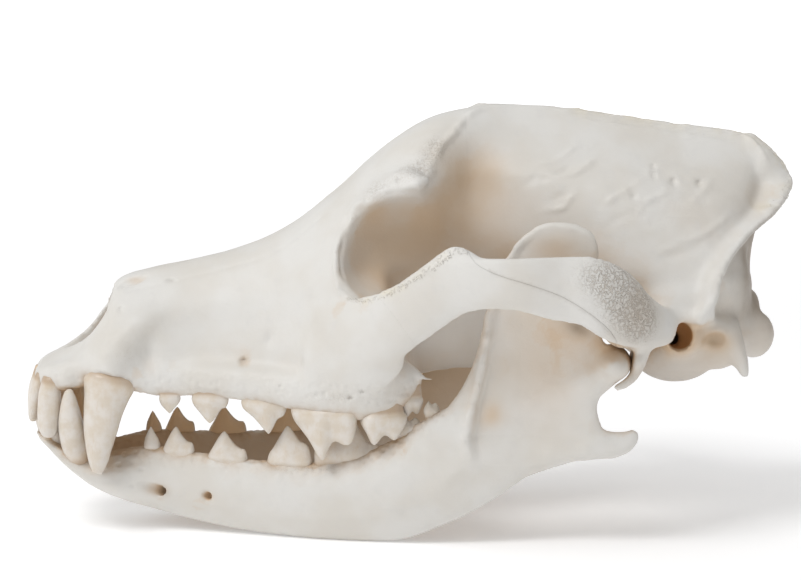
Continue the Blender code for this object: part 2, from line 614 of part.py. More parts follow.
# A row of teeth set in place, upper ones pointing down
def tooth_row(name, rows, side, upper, rng):
    made = []
    flip = Matrix.Scale(-1, 4, (0, 0, 1)) if upper else Matrix.Identity(4)
    sense = 1 if upper else -1
    for number, (kind, length, width, height, x, y, z, turn, nose, outward, root) in enumerate(rows):
        vary = 1 + TOOTH_VARIATION * rng.uniform(-1, 1, 3)
        ob = tooth(f"{name}_{number}", kind, length * vary[0], width * vary[1], height * vary[2], root)
        lean = Matrix.Rotation(math.radians(sense * nose), 4, "Y")
        lean = lean @ Matrix.Rotation(math.radians(-sense * outward), 4, "X")
        yaw = Matrix.Rotation(math.radians(-turn), 4, "Z")
        place = Matrix.Translation(Vector((x, y, z)) * MM) @ yaw @ lean @ flip
        if side > 0:
            place = Matrix.Scale(-1, 4, (0, 1, 0)) @ place
        ob.data.transform(place)
        if place.determinant() < 0:
            ob.data.flip_normals()
        made.append(ob)
    return made


# Teeth grown onto a bone by one union
def grown(bone, teeth):
    group = bpy.data.collections.new(bone.name + "_teeth")
    bpy.context.scene.collection.children.link(group)
    for ob in teeth:
        bpy.context.scene.collection.objects.unlink(ob)
        group.objects.link(ob)
    applied(bone, "BOOLEAN", operation="UNION", solver=SOLVER, operand_type="COLLECTION", collection=group)
    for ob in teeth:
        bpy.data.objects.remove(ob)
    bpy.data.collections.remove(group)
    return largest(bone)


# Room for the brain: the inside of the vault, one wall thinner, below the crest
def brain_room():
    rows = []
    for row in finer(VAULT, 80):
        start, end, low, high = row[:4]
        if not BRAIN_SPAN[0] < start < BRAIN_SPAN[1]:
            continue
        wall = SKULL_WALL + np.interp(start, *zip(*BRAIN_TAPER))
        inner_low, inner_high = low + SKULL_WALL + 0.6, high - CREST_DEPTH
        wide = []
        for level in (0.06, 1 / 3, 2 / 3, 0.97):
            z = inner_low + (inner_high - inner_low) * level
            outer = (z - low) / (high - low)
            edge = (1 - abs(1 - 2 * outer) ** VAULT_SQUARENESS) ** (1 / VAULT_SQUARENESS)
            wide.append(max(1.0, np.interp(outer, (0, 1 / 3, 2 / 3, 1), row[4:8]) * edge - wall))
        at = np.array((inner_low - low, inner_high - low)) / (high - low)
        foot, head = start + (end - start) * at
        rows.append((foot, head, inner_low, inner_high, *wide))
    return stack("brain", rows, 30, sides=32, power=4.0)


# Upper skull as one body, hollow where its openings show the inside
def cranium():
    half = [bar("form", rows) for rows in (BROW_PROCESS, ORBIT_BROW, TOOTH_RIDGE, TOOTH_TUBER, CANINE_BULGE)]
    core = half + [mirrored(ob) for ob in half]
    core.append(stack("muzzle", MUZZLE, 60, power=MUZZLE_SQUARENESS))
    core.append(stack("vault", VAULT, 60, power=VAULT_SQUARENESS))
    core.append(stack("keel", KEEL, 50, power=VAULT_SQUARENESS))
    core = melted("core", core)
    sockets = [lump("socket", *size, detail=4) for size in SOCKETS]
    cut(core, [mirrored(form) for form in sockets] + sockets)

    half = [bar("form", rows) for rows in (
        ARCH, CHEEK_PEAK, JOINT_ROOF, JOINT_HOOK, PTERYGOID, NECK_CREST, EAR_SHELF, THROAT_PROCESS)]
    half += [lump("lump", centre, size) for centre, size in LUMPS]
    ob = melted("cranium", [core] + half + [mirrored(form) for form in half])
    dented(ob, DENTS, both=True)
    pits = [lump("pit", centre, size) for centre, size in PITS]
    pits += [mirrored(pit) for pit in pits]
    pits += [stack("nose", NOSE_HOLLOW, 24, sides=28), stack("throat", THROAT_HOLLOW, 20, sides=24)]
    pits += [brain_room(), bar("tunnel", NERVE_TUNNEL, sides=24)]
    cut(ob, pits)
    applied(ob, "REMESH", mode="VOXEL", voxel_size=VOXEL * MM)
    applied(ob, "SMOOTH", iterations=1, factor=0.5)
    applied(ob, "DECIMATE", ratio=min(1.0, KEPT["cranium"] / (2 * len(ob.data.polygons))))
    return ob


# One half of the lower jaw, on the left
def jaw():
    forms = [stack("body", JAW_BODY, 60, power=JAW_SQUARENESS), plate("plate", JAW_PLATE, 40)]
    forms += [bar("angle", JAW_ANGLE), bar("neck", JAW_NECK), lump("joint", *JAW_JOINT)]
    ob = melted("jaw", forms)
    dented(ob, JAW_DENTS, both=False)
    applied(ob, "DECIMATE", ratio=min(1.0, KEPT["jaw"] / (2 * len(ob.data.polygons))))
    cut(ob, [block("middle", (-130.0, -SEAM / 2, -20.0), (0.0, 40.0, 60.0)),
             block("floor", (-90.0, -60.0, -20.0), (40.0, 10.0, FLAT_LEVEL))])
    return largest(ob)


# The upper skull parted into its bones
def parted(ob):
    walls = [parting("seam", FACE_SEAM, *FACE_REACH)]
    for side in (-1, 1):
        walls.append(parting("seam", CHEEK_SEAM, *(side * reach for reach in CHEEK_REACH)))
        walls.append(parting("seam", TEMPLE_SEAM, *(side * reach for reach in TEMPLE_REACH)))
    cut(ob, walls)
    found = {}
    for part in surfaces(ob):
        centre = middle(part)
        if abs(centre.y) > CHEEK_BEYOND:
            name = "cheekbone_left" if centre.y < 0 else "cheekbone_right"
        else:
            name = "face" if centre.x < FACE_BEFORE else "braincase"
        if name in found:
            bpy.data.objects.remove(part)
            continue
        part.name = name
        found[name] = part
    return found


def main():
    rng = np.random.default_rng(11)
    nodes = parted(cranium())
    upper = tooth_row("upper_left", UPPER_TEETH, -1, True, rng)
    upper += tooth_row("upper_right", UPPER_TEETH, 1, True, rng)
    nodes["face"] = grown(nodes["face"], upper)
    left = jaw()
    right = mirrored(left)
    left.name = "jaw_left"
    right.name = "jaw_right"
    nodes["jaw_left"] = grown(left, tooth_row("lower_left", LOWER_TEETH, -1, False, rng))
    nodes["jaw_right"] = grown(right, tooth_row("lower_right", LOWER_TEETH, 1, False, rng))

    # The frame: centre of the box above the floor
    corners = np.array([v.co for ob in nodes.values() for v in ob.data.vertices])
    low, high = corners.min(axis=0), corners.max(axis=0)
    shift = Matrix.Translation(Vector((-(low[0] + high[0]) / 2, -(low[1] + high[1]) / 2, -low[2])))
    for name, ob in nodes.items():
        ob.data.transform(shift)
        ob.name = name
        ob.data.name = name
        material = bpy.data.materials.new(name)
        material.use_nodes = True
        shader = material.node_tree.nodes["Principled BSDF"]
        shader.inputs["Base Color"].default_value = COLOURS[name]
        shader.inputs["Roughness"].default_value = 0.55
        ob.data.materials.clear()
        ob.data.materials.append(material)
    return shift.translation


frame_shift = main()
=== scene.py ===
import itertools
import math
import time
import bmesh
import bpy
import numpy as np
from mathutils import Matrix, Vector
from mathutils.bvhtree import BVHTree
from mathutils.kdtree import KDTree


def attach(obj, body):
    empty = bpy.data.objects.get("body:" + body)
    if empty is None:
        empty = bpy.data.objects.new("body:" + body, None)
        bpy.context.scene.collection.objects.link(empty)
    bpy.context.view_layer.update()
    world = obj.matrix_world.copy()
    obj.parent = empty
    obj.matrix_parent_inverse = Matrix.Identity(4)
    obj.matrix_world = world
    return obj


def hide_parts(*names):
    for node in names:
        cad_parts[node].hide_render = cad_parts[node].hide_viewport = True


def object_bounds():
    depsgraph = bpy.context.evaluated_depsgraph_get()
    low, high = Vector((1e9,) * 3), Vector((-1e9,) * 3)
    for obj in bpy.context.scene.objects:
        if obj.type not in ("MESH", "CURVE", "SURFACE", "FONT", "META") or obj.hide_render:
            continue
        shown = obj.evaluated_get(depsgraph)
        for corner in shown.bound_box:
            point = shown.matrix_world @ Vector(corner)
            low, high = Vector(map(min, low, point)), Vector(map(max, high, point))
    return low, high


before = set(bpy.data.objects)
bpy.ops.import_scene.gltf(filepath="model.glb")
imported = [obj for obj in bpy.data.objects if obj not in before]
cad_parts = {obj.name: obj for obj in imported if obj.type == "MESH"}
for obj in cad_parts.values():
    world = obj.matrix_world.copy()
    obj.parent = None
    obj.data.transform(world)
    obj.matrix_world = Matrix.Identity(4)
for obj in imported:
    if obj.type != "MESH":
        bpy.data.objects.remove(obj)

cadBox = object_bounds()
started = time.time()
mm = 0.001

# All places are millimetres from the middle of the skull: nose to -x, left side to -y, up +z.
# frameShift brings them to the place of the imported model.
frameShift = Vector((-2.31, 0.01, 0.75)) * mm
grainSizes = {"core": 0.95, "skull": 0.84, "jaw": 0.78, "tooth": 0.42, "scroll": 0.3}   # voxel sizes
# rounds, stages, share of the wear at outer edges
fillets = {"core": (14, 3, 0.22), "skull": (9, 2, 0.3), "jaw": (12, 3, 0.22)}
mostTriangles = 175000   # of a bone, before its grains
sharpAngle = 55   # degrees from which an edge stays sharp
dice = np.random.default_rng(23)

cameraPlace = {
    "azimuth": -3.5, "elevation": 9.5, "distance": 0.9, "pixelsPerMm": 3.2, "width": 801,
    "target": (0, 0, 72)
}


def report(words):
    print(f"{time.time() - started:6.1f} s  {words}")


def viewBack():
    # from the skull towards the camera
    turn, rise = math.radians(cameraPlace["azimuth"]), math.radians(cameraPlace["elevation"])
    return Vector((math.sin(turn) * math.cos(rise), -math.cos(turn) * math.cos(rise), math.sin(rise)))


# mesh helpers

def linked(name, data):
    ob = bpy.data.objects.new(name, data)
    bpy.context.scene.collection.objects.link(ob)
    return ob


def gathered(meshes):
    bm = bmesh.new()
    for mesh in meshes:
        bm.from_mesh(mesh)
    return bm


def meshed(bm, mesh):
    bm.to_mesh(mesh)
    bm.free()
    return mesh


def placed(name, bm):
    bmesh.ops.recalc_face_normals(bm, faces=bm.faces)
    return linked(name, meshed(bm, bpy.data.meshes.new(name)))


def circle(sides):
    return np.linspace(0, 2 * math.pi, sides, endpoint=False)


def held(values):
    return np.clip(values, 0, 1)


def turned(degrees, axis):
    return Matrix.Rotation(math.radians(degrees), 4, axis)


def finer(rows, count):
    # a smooth line through rows of numbers
    rows = np.array(rows, float)
    last = len(rows) - 1
    spot = np.linspace(0, last, count)
    k = np.clip(spot.astype(int), 0, last - 1)
    f = (spot - k)[:, None]
    wide = np.vstack([2 * rows[0] - rows[1], rows, 2 * rows[-1] - rows[-2]])
    a, b, c, d = wide[k], wide[k + 1], wide[k + 2], wide[k + 3]
    return 0.5 * (2 * b + (c - a) * f + (2 * a - 5 * b + 4 * c - d) * f**2 + (3 * b - a - 3 * c + d) * f**3)


def skin(name, rings):
    # closed skin through rings of equal count
    bm = bmesh.new()
    loops = [[bm.verts.new(Vector(p) * mm) for p in ring] for ring in rings]
    count = len(loops[0])
    for near, far in zip(loops, loops[1:]):
        for k in range(count):
            after = (k + 1) % count
            bm.faces.new((near[k], near[after], far[after], far[k]))
    for loop in (loops[0], loops[-1]):
        centre = bm.verts.new(sum((v.co for v in loop), Vector()) / count)
        for k in range(count):
            bm.faces.new((loop[k], centre, loop[(k + 1) % count]))
    return placed(name, bm)


def stack(name, rows, rings, sides=56, square=2.8, upright=True):
    # sections that stand on a low line and reach a high line, with four half widths upwards
    turn = circle(sides)
    level = (1 - np.cos(turn)) / 2
    edge = (1 - np.abs(np.cos(turn)) ** square) ** (1 / square) * np.sign(np.round(np.sin(turn), 6))
    out = []
    for row in finer(rows, rings):
        start, end, low, high = row[:4]
        wide = np.interp(level, (0, 1 / 3, 2 / 3, 1), row[4:8])
        centre = row[8] + (row[9] - row[8]) * level if len(row) > 8 else 0.0
        main = start + (end - start) * level
        cross = low + (high - low) * level
        across = centre + wide * edge
        out.append(np.stack((main, across, cross) if upright else (cross, across, main), 1))
    return skin(name, out)


def plate(name, rows, rings):
    return stack(name, [(r[0], r[0], *r[1:]) for r in rows], rings, square=2.6, upright=False)


def bar(name, rows, sides=20, steps=8):
    # x, y, z, half thickness, half height, and a lean where there is one
    rows = finer([(*row, 0)[:6] for row in rows], steps * len(rows))
    line = rows[:, :3]
    ahead = np.gradient(line, axis=0)
    ahead /= np.linalg.norm(ahead, axis=1)[:, None]
    turn = circle(sides)
    out = []
    for point, way, row in zip(line, ahead, rows):
        side = np.cross(way, (0.0, 0.0, 1.0))
        side /= max(np.linalg.norm(side), 1e-6)
        up = np.cross(side, way)
        lean = math.radians(row[5])
        thick = side * math.cos(lean) + up * math.sin(lean)
        tall = up * math.cos(lean) - side * math.sin(lean)
        out.append(point + np.outer(np.cos(turn) * row[3], thick) + np.outer(np.sin(turn) * row[4], tall))
    return skin(name, out)


def lump(name, centre, half, detail=4):
    bm = bmesh.new()
    bmesh.ops.create_icosphere(bm, subdivisions=detail, radius=1)
    for v in bm.verts:
        v.co = Vector((centre[k] + v.co[k] * half[k] for k in range(3))) * mm
    return placed(name, bm)


def mirrored(ob):
    mesh = ob.data.copy()
    mesh.transform(Matrix.Scale(-1, 4, (0, 1, 0)))
    mesh.flip_normals()
    return linked(ob.name + ".right", mesh)


def bothSides(forms):
    return forms + [mirrored(form) for form in forms]


def evaluated(ob):
    # turns the modifiers' result into the object's own mesh
    graph = bpy.context.evaluated_depsgraph_get()
    mesh = bpy.data.meshes.new_from_object(ob.evaluated_get(graph))
    ob.modifiers.clear()
    ob.data = mesh
    return ob


def applied(ob, kind, **settings):
    modifier = ob.modifiers.new(kind, kind)
    for key, value in settings.items():
        setattr(modifier, key, value)
    return evaluated(ob)


def smoothed(ob, rounds):
    return applied(ob, "SMOOTH", iterations=rounds, factor=0.5)


def remeshed(ob, size, rounds=2):
    applied(ob, "REMESH", mode="VOXEL", voxel_size=size * mm)
    return smoothed(ob, rounds)


def melted(name, forms, size, rounds=2):
    # one closed skin round forms that overlap
    ob = placed(name, gathered(form.data for form in forms))
    for form in forms:
        bpy.data.objects.remove(form)
    return remeshed(ob, size, rounds)


def cut(ob, cutters):
    for cutter in cutters:
        applied(ob, "BOOLEAN", operation="DIFFERENCE", solver="MANIFOLD", object=cutter)
    for cutter in cutters:
        bpy.data.objects.remove(cutter)
    return ob


def filleted(ob, rounds, stages, convex):
    # fills the creases between forms and leaves most of the outer edges as they are
    for _ in range(stages):
        before, normals = getPoints(ob), getNormals(ob)
        smoothed(ob, rounds)
        out = ((getPoints(ob) - before) * normals).sum(axis=1)
        setPoints(ob, before + normals * (out * np.where(out > 0, 1.0, convex))[:, None])
    return ob


def ironed(ob, places, rounds):
    # smooths some places more than the rest
    before = getPoints(ob)
    share = held(spots(folded(before), places) * 1.4)
    smoothed(ob, rounds)
    setPoints(ob, before + (getPoints(ob) - before) * share[:, None])


def refined(ob, mask):
    # halves the mesh size where the mask is true
    bm = gathered([ob.data])
    edges = [e for e in bm.edges if mask[e.verts[0].index] and mask[e.verts[1].index]]
    bmesh.ops.subdivide_edges(bm, edges=edges, cuts=1, use_grid_fill=True)
    bmesh.ops.triangulate(bm, faces=[f for f in bm.faces if len(f.verts) > 4])
    meshed(bm, ob.data)


def thinned(ob, most):
    # fewer triangles where the surface is plain
    ob.data.calc_loop_triangles()
    count = len(ob.data.loop_triangles)
    if count > most:
        applied(ob, "DECIMATE", ratio=most / count)


def surfaceTree(ob):
    bm = gathered([ob.data])
    tree = BVHTree.FromBMesh(bm)
    bm.free()
    return tree


def onSurface(tree, point, reach=6.0):
    # where the line of view through a listed point meets the bone, or else the nearest place
    point = Vector(point) * mm
    start = Vector(cameraPlace["target"]) * mm + viewBack() * cameraPlace["distance"]
    way = (point - start).normalized()
    best, gap = None, reach * mm
    while True:
        hit, normal = tree.ray_cast(start, way)[:2]
        if hit is None:
            break
        if normal @ way < 0 and (hit - point).length < gap:
            best, gap = hit, (hit - point).length
        start = hit + way * 0.05 * mm
    return np.array(best if best else tree.find_nearest(point)[0]) / mm


def draped(tree, line, steps=3):
    return [onSurface(tree, point) for point in finer(line, steps * len(line))]


def parting(name, line, near, far, gap):
    # thin wall along a line in x and z
    bm = bmesh.new()
    points = np.array(line, float)
    ahead = np.gradient(points, axis=0)
    ahead /= np.linalg.norm(ahead, axis=1)[:, None]
    out = np.stack([-ahead[:, 1], ahead[:, 0]], 1) * gap / 2
    loops = []
    for point, step in zip(points, out):
        a, b = point - step, point + step
        ring = ((a[0], near, a[1]), (b[0], near, b[1]), (b[0], far, b[1]), (a[0], far, a[1]))
        loops.append([bm.verts.new(Vector(p) * mm) for p in ring])
    for one, two in zip(loops, loops[1:]):
        for k in range(4):
            bm.faces.new((one[k], one[(k + 1) % 4], two[(k + 1) % 4], two[k]))
    bm.faces.new(loops[0])
    bm.faces.new(loops[-1])
    return placed(name, bm)


def surfaces(ob, most):
    # the largest closed surfaces of a mesh as objects of their own
    mesh = ob.data
    count = len(mesh.vertices)
    edges = np.empty(len(mesh.edges) * 2, int)
    mesh.edges.foreach_get("vertices", edges)
    edges = edges.reshape(-1, 2)
    group = np.arange(count)
    while True:
        low = np.minimum(group[edges[:, 0]], group[edges[:, 1]])
        before = group.copy()
        np.minimum.at(group, edges[:, 0], low)
        np.minimum.at(group, edges[:, 1], low)
        group = group[group]
        if (group == before).all():
            break
    labels, sizes = np.unique(group, return_counts=True)
    found = []
    for label in labels[np.argsort(-sizes)][:most]:
        bm = gathered([mesh])
        bm.verts.ensure_lookup_table()
        drop = [bm.verts[k] for k in np.nonzero(group != label)[0]]
        bmesh.ops.delete(bm, geom=drop, context="VERTS")
        found.append(placed(ob.name, bm))
    bpy.data.objects.remove(ob)
    return found


# sculpting helpers: they move points along their normals

def getPoints(ob):
    co = np.empty(len(ob.data.vertices) * 3)
    ob.data.vertices.foreach_get("co", co)
    return co.reshape(-1, 3) / mm


def getNormals(ob):
    normals = np.empty(len(ob.data.vertices) * 3)
    ob.data.vertex_normals.foreach_get("vector", normals)
    return normals.reshape(-1, 3)


def setPoints(ob, co):
    ob.data.vertices.foreach_set("co", (co * mm).ravel())
    ob.data.update()


def sideTurn(points):
    return np.where(points[:, 1:2] > 0, (1, -1, 1), (1, 1, 1))


def folded(points):
    # both sides read the tables of the left side
    return points * sideTurn(points)


def near(points, centre, reach):
    gap = (points - np.array(centre)) / np.array(reach)
    return np.exp(-2.0 * (gap**2).sum(axis=1))


def spots(points, table):
    # centre, reach, and a strength where there is one
    return sum(near(points, *row[:2]) * (row[2] if len(row) > 2 else 1) for row in table)


def lineDistance(points, line):
    best = np.full(len(points), 1e9)
    for a, b in zip(line, line[1:]):
        a, b = np.array(a, float), np.array(b, float)
        way = b - a
        share = held((points - a) @ way / (way @ way))
        best = np.minimum(best, np.linalg.norm(points - a - share[:, None] * way, axis=1))
    return best


def lattice(cell, seed):
    # a number from 0 to 1 for each cell
    code = (cell[:, 0] * 73856093) ^ (cell[:, 1] * 19349663) ^ (cell[:, 2] * 83492791) ^ (seed * 2654435761)
    code = code & 0xffffffff
    code = ((code ^ (code >> 13)) * 1274126177) & 0xffffffff
    return (code ^ (code >> 16)) / 2.0**32


def clouds(points, size, seed=1):
    # smooth noise from -1 to 1
    cell = points / size
    base = np.floor(cell).astype(np.int64)
    f = cell - base
    f = f * f * (3 - 2 * f)
    total = np.zeros(len(points))
    for corner in itertools.product((0, 1), repeat=3):
        share = np.where(corner, f, 1 - f).prod(axis=1)
        total += lattice(base + corner, seed) * share
    return total * 2 - 1


def pebbles(points, size, seed=1):
    # distance to the nearest scattered point, 0 at it and about 1 between them
    cell = points / size
    base = np.floor(cell).astype(np.int64)
    best = np.full(len(points), 9.0)
    for step in itertools.product((-1, 0, 1), repeat=3):
        there = base + step
        spot = there + np.stack([lattice(there, seed + k) for k in range(3)], 1)
        best = np.minimum(best, ((cell - spot) ** 2).sum(axis=1))
    return np.sqrt(best)


# the upper skull

muzzle = {   # foot x, head x, foot z, head z, four half widths upwards
    "rows": (
        (-113, -112, 47.5, 51.5, 7, 8.5, 8, 5),
        (-106, -105.5, 46.5, 54.8, 14, 15, 13.5, 9),
        (-99.5, -99.5, 47, 59, 17.5, 18.5, 16.5, 10.5),
        (-94, -93, 48.5, 67, 19.5, 21, 17.5, 9.5),
        (-88, -88, 48.5, 76.2, 20, 21.5, 16.5, 8),
        (-77, -77, 47, 80, 19, 20, 16, 8.5),
        (-64, -64, 45.5, 82.5, 20.5, 20, 16, 9.5),
        (-52, -52, 45, 85.3, 24, 22, 17.5, 11),
        (-40, -40, 44.5, 89.8, 29, 26.5, 20, 12.5),
        (-28, -28, 44, 96.7, 34, 34.5, 28.5, 17),
        (-15, -21.5, 43.5, 102, 35, 38, 35, 25),
        (-4, -17, 44, 101, 33, 36, 34, 24),
        (4, -10, 48, 95, 23, 22, 24, 18)),
    "square": 3,
}
vault = {   # the same columns, forehead to back of the head
    "rows": (
        (-32, -32, 62, 94.2, 13, 19, 19, 9),
        (-20, -20, 64, 103.4, 13, 20, 27, 19),
        (-8, -8, 68, 114.2, 13, 18, 29, 22),
        (3, 3, 70, 122.4, 12.5, 16.5, 29.5, 22),
        (12, 12, 72, 127, 12.5, 16, 22, 19),
        (22, 22, 73, 129.3, 12.5, 16.5, 18.5, 12),
        (32, 32, 70, 130.5, 13.5, 18.5, 18, 4.6),
        (43, 43, 66, 130.4, 17, 23.5, 19.5, 2.6),
        (56, 56, 61, 129.2, 23, 29.5, 22, 2.4),
        (70, 70, 58, 127.2, 26, 32.5, 24, 2.4),
        (84, 84, 57, 125, 26.5, 32.5, 23, 2.4),
        (95, 98, 56.5, 123.3, 26, 31, 20.5, 2.6),
        (103, 108, 57, 121, 23, 25.5, 16, 3.4),
        (107, 112.5, 59, 117.5, 15, 17, 10, 4)),
    "square": 2.8,
}
keel = {   # the same columns, base of the skull behind the palate
    "rows": (
        (-20, -20, 46, 80, 13, 13, 13, 13),
        (2, 2, 56, 88, 11, 11, 12, 13),
        (20, 20, 60, 88, 11, 11, 12, 13),
        (38, 38, 60.5, 88, 12.5, 13.5, 15, 17),
        (55, 55, 60, 84, 15, 18, 22, 24),
        (75, 75, 57.5, 78, 15, 18, 24, 26),
        (92, 92, 54, 74, 15, 18, 22, 24),
        (104, 104, 51, 72, 15.5, 17.5, 17.5, 16),
        (110, 112.5, 50.5, 71, 14.5, 15.5, 14.5, 9)),
}
coreBars = {   # x, y, z, half thickness, half height, lean
    "browProcess": ((-8, -18, 104, 6, 5), (1, -25, 109.5, 4.6, 4), (4.4, -31, 108.6, 2.4, 2)),
    "orbitBrow": (
        (-16, -21, 98.5, 2.6, 3.4), (-10, -23.5, 103.5, 2.6, 2.6), (-3, -25.6, 107, 2.6, 2.2),
        (3, -29, 108.6, 2.4, 2)),
    "toothRidge": (
        (-106, -13, 48.2, 3.4, 4.6), (-91, -18, 51.8, 4.6, 5.6), (-80, -18.2, 49.4, 3.8, 6.4),
        (-72, -18.8, 47.8, 3.8, 6), (-60, -21, 48.2, 4.2, 5.6), (-43, -26, 47.2, 4.8, 6),
        (-30, -31.4, 46.2, 5.6, 6.2), (-18, -34.2, 44.6, 5.4, 6.6), (-8, -34, 44.2, 4.8, 6.4),
        (0, -31, 47.5, 4, 4.2), (4, -28, 51, 2.4, 2.4)),
    "noseRim": (
        (-111.2, -1.5, 47.2, 3.2, 3.8), (-110.4, -8, 47.4, 3.4, 4), (-107, -13, 47.8, 4, 4.6),
        (-100.5, -16.6, 49.6, 4.6, 5.2)),
    "cheekRoot": (
        (-30, -31, 54, 5, 9), (-20, -36, 54.5, 4.6, 10), (-12, -39, 56, 4, 9.4), (-6.6, -41, 58.6, 3, 7.4),
        (-3.6, -42.6, 62.4, 2.4, 5)),
    "toothTuber": ((-14, -31, 50, 7, 9), (-6, -31.5, 51, 6.6, 8), (0.6, -30, 50.6, 5, 4.8)),
    "canineBulge": (
        (-91.4, -17.8, 51, 7.4, 5.8), (-87.4, -17.2, 57, 6.8, 6.4), (-80.6, -15.8, 63.4, 5.2, 5.6),
        (-72.6, -13.5, 67, 3, 3.5)),
}
skullBars = {
    "arch": (
        (-24, -30, 63, 6, 12.5), (-12, -41, 65.5, 4.6, 11.5), (-1, -47.5, 72.5, 3.6, 9.6, -8),
        (10, -53, 80.8, 2.9, 9.4, -10), (20, -57, 83, 2.7, 8.2, -8), (31, -59.2, 83.2, 2.7, 8.4, -4),
        (43, -57.7, 81.6, 2.8, 10), (53, -57.3, 80.2, 3, 10.6, 4), (62, -54, 74.6, 3.2, 11, 8),
        (70, -47.5, 69.6, 3.4, 8.6, 8), (77, -38, 66.6, 3.8, 6.2, 6), (82, -27, 66, 4, 5)),
    "cheekPeak": ((6, -50.8, 84, 2.6, 4.5), (12.6, -53.6, 91.3, 2, 2.6), (19, -56.5, 88, 2.4, 3.4)),
    "jointRoof": ((66, -22, 66, 6.6, 4), (66, -34, 66, 7, 3.8), (64.5, -50, 66, 7, 4.4)),
    "jointHook": (
        (70.2, -31, 58, 2, 5.2, 20), (69, -39, 57.6, 2, 5.6, 20), (68.6, -46, 58.4, 1.9, 5, 20),
        (68.4, -50, 60.8, 1.6, 3.4, 20)),
    "jointRim": (
        (70, -46, 62.4, 2.2, 2.2), (69.2, -46.6, 57.4, 2, 2), (66.8, -47, 52.9, 1.7, 1.7),
        (63.6, -47, 50.2, 1.5, 1.5), (60.8, -46.6, 49.4, 1.1, 1.1)),
    "throatPlate": (
        (-2, -12, 56.5, 1.8, 12), (10, -11.8, 59.5, 1.6, 12.5), (22, -11.8, 60.5, 1.6, 12.5),
        (31, -11.6, 61.5, 1.6, 10.5), (38, -11.4, 63, 1.6, 5)),
    "neckCrest": (
        (108, 0, 118, 4, 3.4), (114.6, -2.5, 112, 5.6, 3), (116, -6.5, 104.5, 6, 2.4),
        (111, -14, 98, 5.2, 1.9), (102.8, -22, 92, 4.4, 1.6), (97, -28.4, 86.8, 3.8, 1.5),
        (92.6, -33.4, 80, 3.4, 1.6), (91.4, -35, 73, 3.4, 2), (88, -34.4, 66.5, 3.2, 2.2)),
    "earShelf": (
        (72, -37, 68, 5.6, 3), (80, -31.5, 68.5, 5.6, 2.8), (87, -30.5, 68.5, 5.6, 2.8),
        (93.5, -30.5, 69.5, 5.2, 3)),
    "throatProcess": (
        (97.6, -24, 64, 6.6, 5), (100.8, -26, 57.6, 4.4, 3.6), (103.2, -27.2, 52.2, 2.7, 2.3),
        (104.6, -27.6, 48.1, 1.4, 1.2)),
    "maxillaSpike": (
        (-2, -31, 54.6, 2.2, 2.2), (2.4, -32.6, 52.6, 1.5, 1.4), (5.6, -34, 50.4, 1.1, 1),
        (9.6, -34.8, 49.7, 0.7, 0.6)),
}
skullLumps = {
    "earCapsule": ((84, -17, 55), (13.5, 10.5, 9.6)),
    "earMouth": ((84, -27.5, 61.5), (7.5, 7, 6.5)),
    "condyle": ((109.5, -11.5, 58.8), (6.6, 5, 7.6)),
    "mastoid": ((95, -24.5, 62.5), (7.6, 7.2, 6)),
    "earWall": ((83, -27.4, 73.5), (13, 7, 6.6)),
    "processRoot": ((96, -22, 56.5), (7.6, 6, 6.6)),
}
sockets = (((-1.5, -43, 91), (21, 28, 16.5)), ((-8, -43, 86), (13, 26, 11.5)))
pits = (
    ((82.8, -33, 62.6), (3.9, 6.4, 4.9)),
    ((81.8, -29, 60.8), (2, 10, 2.2)),
    ((84.5, -17.6, 56), (11, 8.4, 7.2)),
    ((94, -33.4, 60.2), (4.4, 5.2, 3.6)),
    ((26, -20, 80), (2.2, 9, 2.2)),
    ((33, -20, 74), (2.6, 9, 2)),
    ((-13, -24, 66), (9, 3, 2.4)),
    ((-95, -4.6, 47), (6.5, 1.9, 5)),
    ((-30, -14, 45), (2.6, 1, 4)),
)
channels = {   # bars that are cut out: slots beside the nose ridge, nerve openings under the eyes
    "noseSlot": (
        (-88, -5.6, 74.8, 1.4, 0.8), (-86, -6.2, 76, 2.1, 1.7), (-82.6, -6.4, 77.3, 2.2, 1.9),
        (-79.9, -6.2, 78.4, 2, 1.6), (-78, -5.8, 79.2, 1.2, 0.8)),
    "cheekNerve": (
        (-54, -30.5, 58.6, 1.6, 2), (-48, -28.2, 60, 2, 2.6), (-42.5, -25.4, 61.4, 1.8, 2.6),
        (-39.5, -23.4, 62.2, 1, 1.6)),
}
hollows = {
    "nose": (
        (-110, -94, 56.5, 78, 3, 5, 5, 3),
        (-98, -90.5, 53.5, 75, 7.5, 9.8, 9, 5),
        (-89, -85, 52.5, 73.5, 8.5, 10.6, 9.6, 6),
        (-82, -80, 54, 72, 6.5, 8.5, 7.5, 5),
        (-78, -77, 58, 68, 3, 4, 4, 3)),
    "throat": (
        (-9, -9, 51, 58, 4, 5, 5, 3),
        (-2, -2, 49, 61, 7, 8, 7.5, 5),
        (10, 10, 46, 60.5, 8, 8.5, 8, 5),
        (26, 26, 42, 59, 8.5, 8.8, 8, 5)),
    "nerve": (
        (94, 0, 69, 7.6, 5), (103, 0, 64.8, 9.6, 7.2), (112, 0, 60.6, 10.2, 7.8), (126, 0, 59, 10.6, 8.2)),
    "brainWall": 2.2,
    "crestDepth": 10.5,
    "brainFrom": 24,
    "brainTo": 104.5,
    "wallExtra": ((24, 7), (44, 3.4), (62, 0.8), (96, 0.6), (104.5, 10)),
}


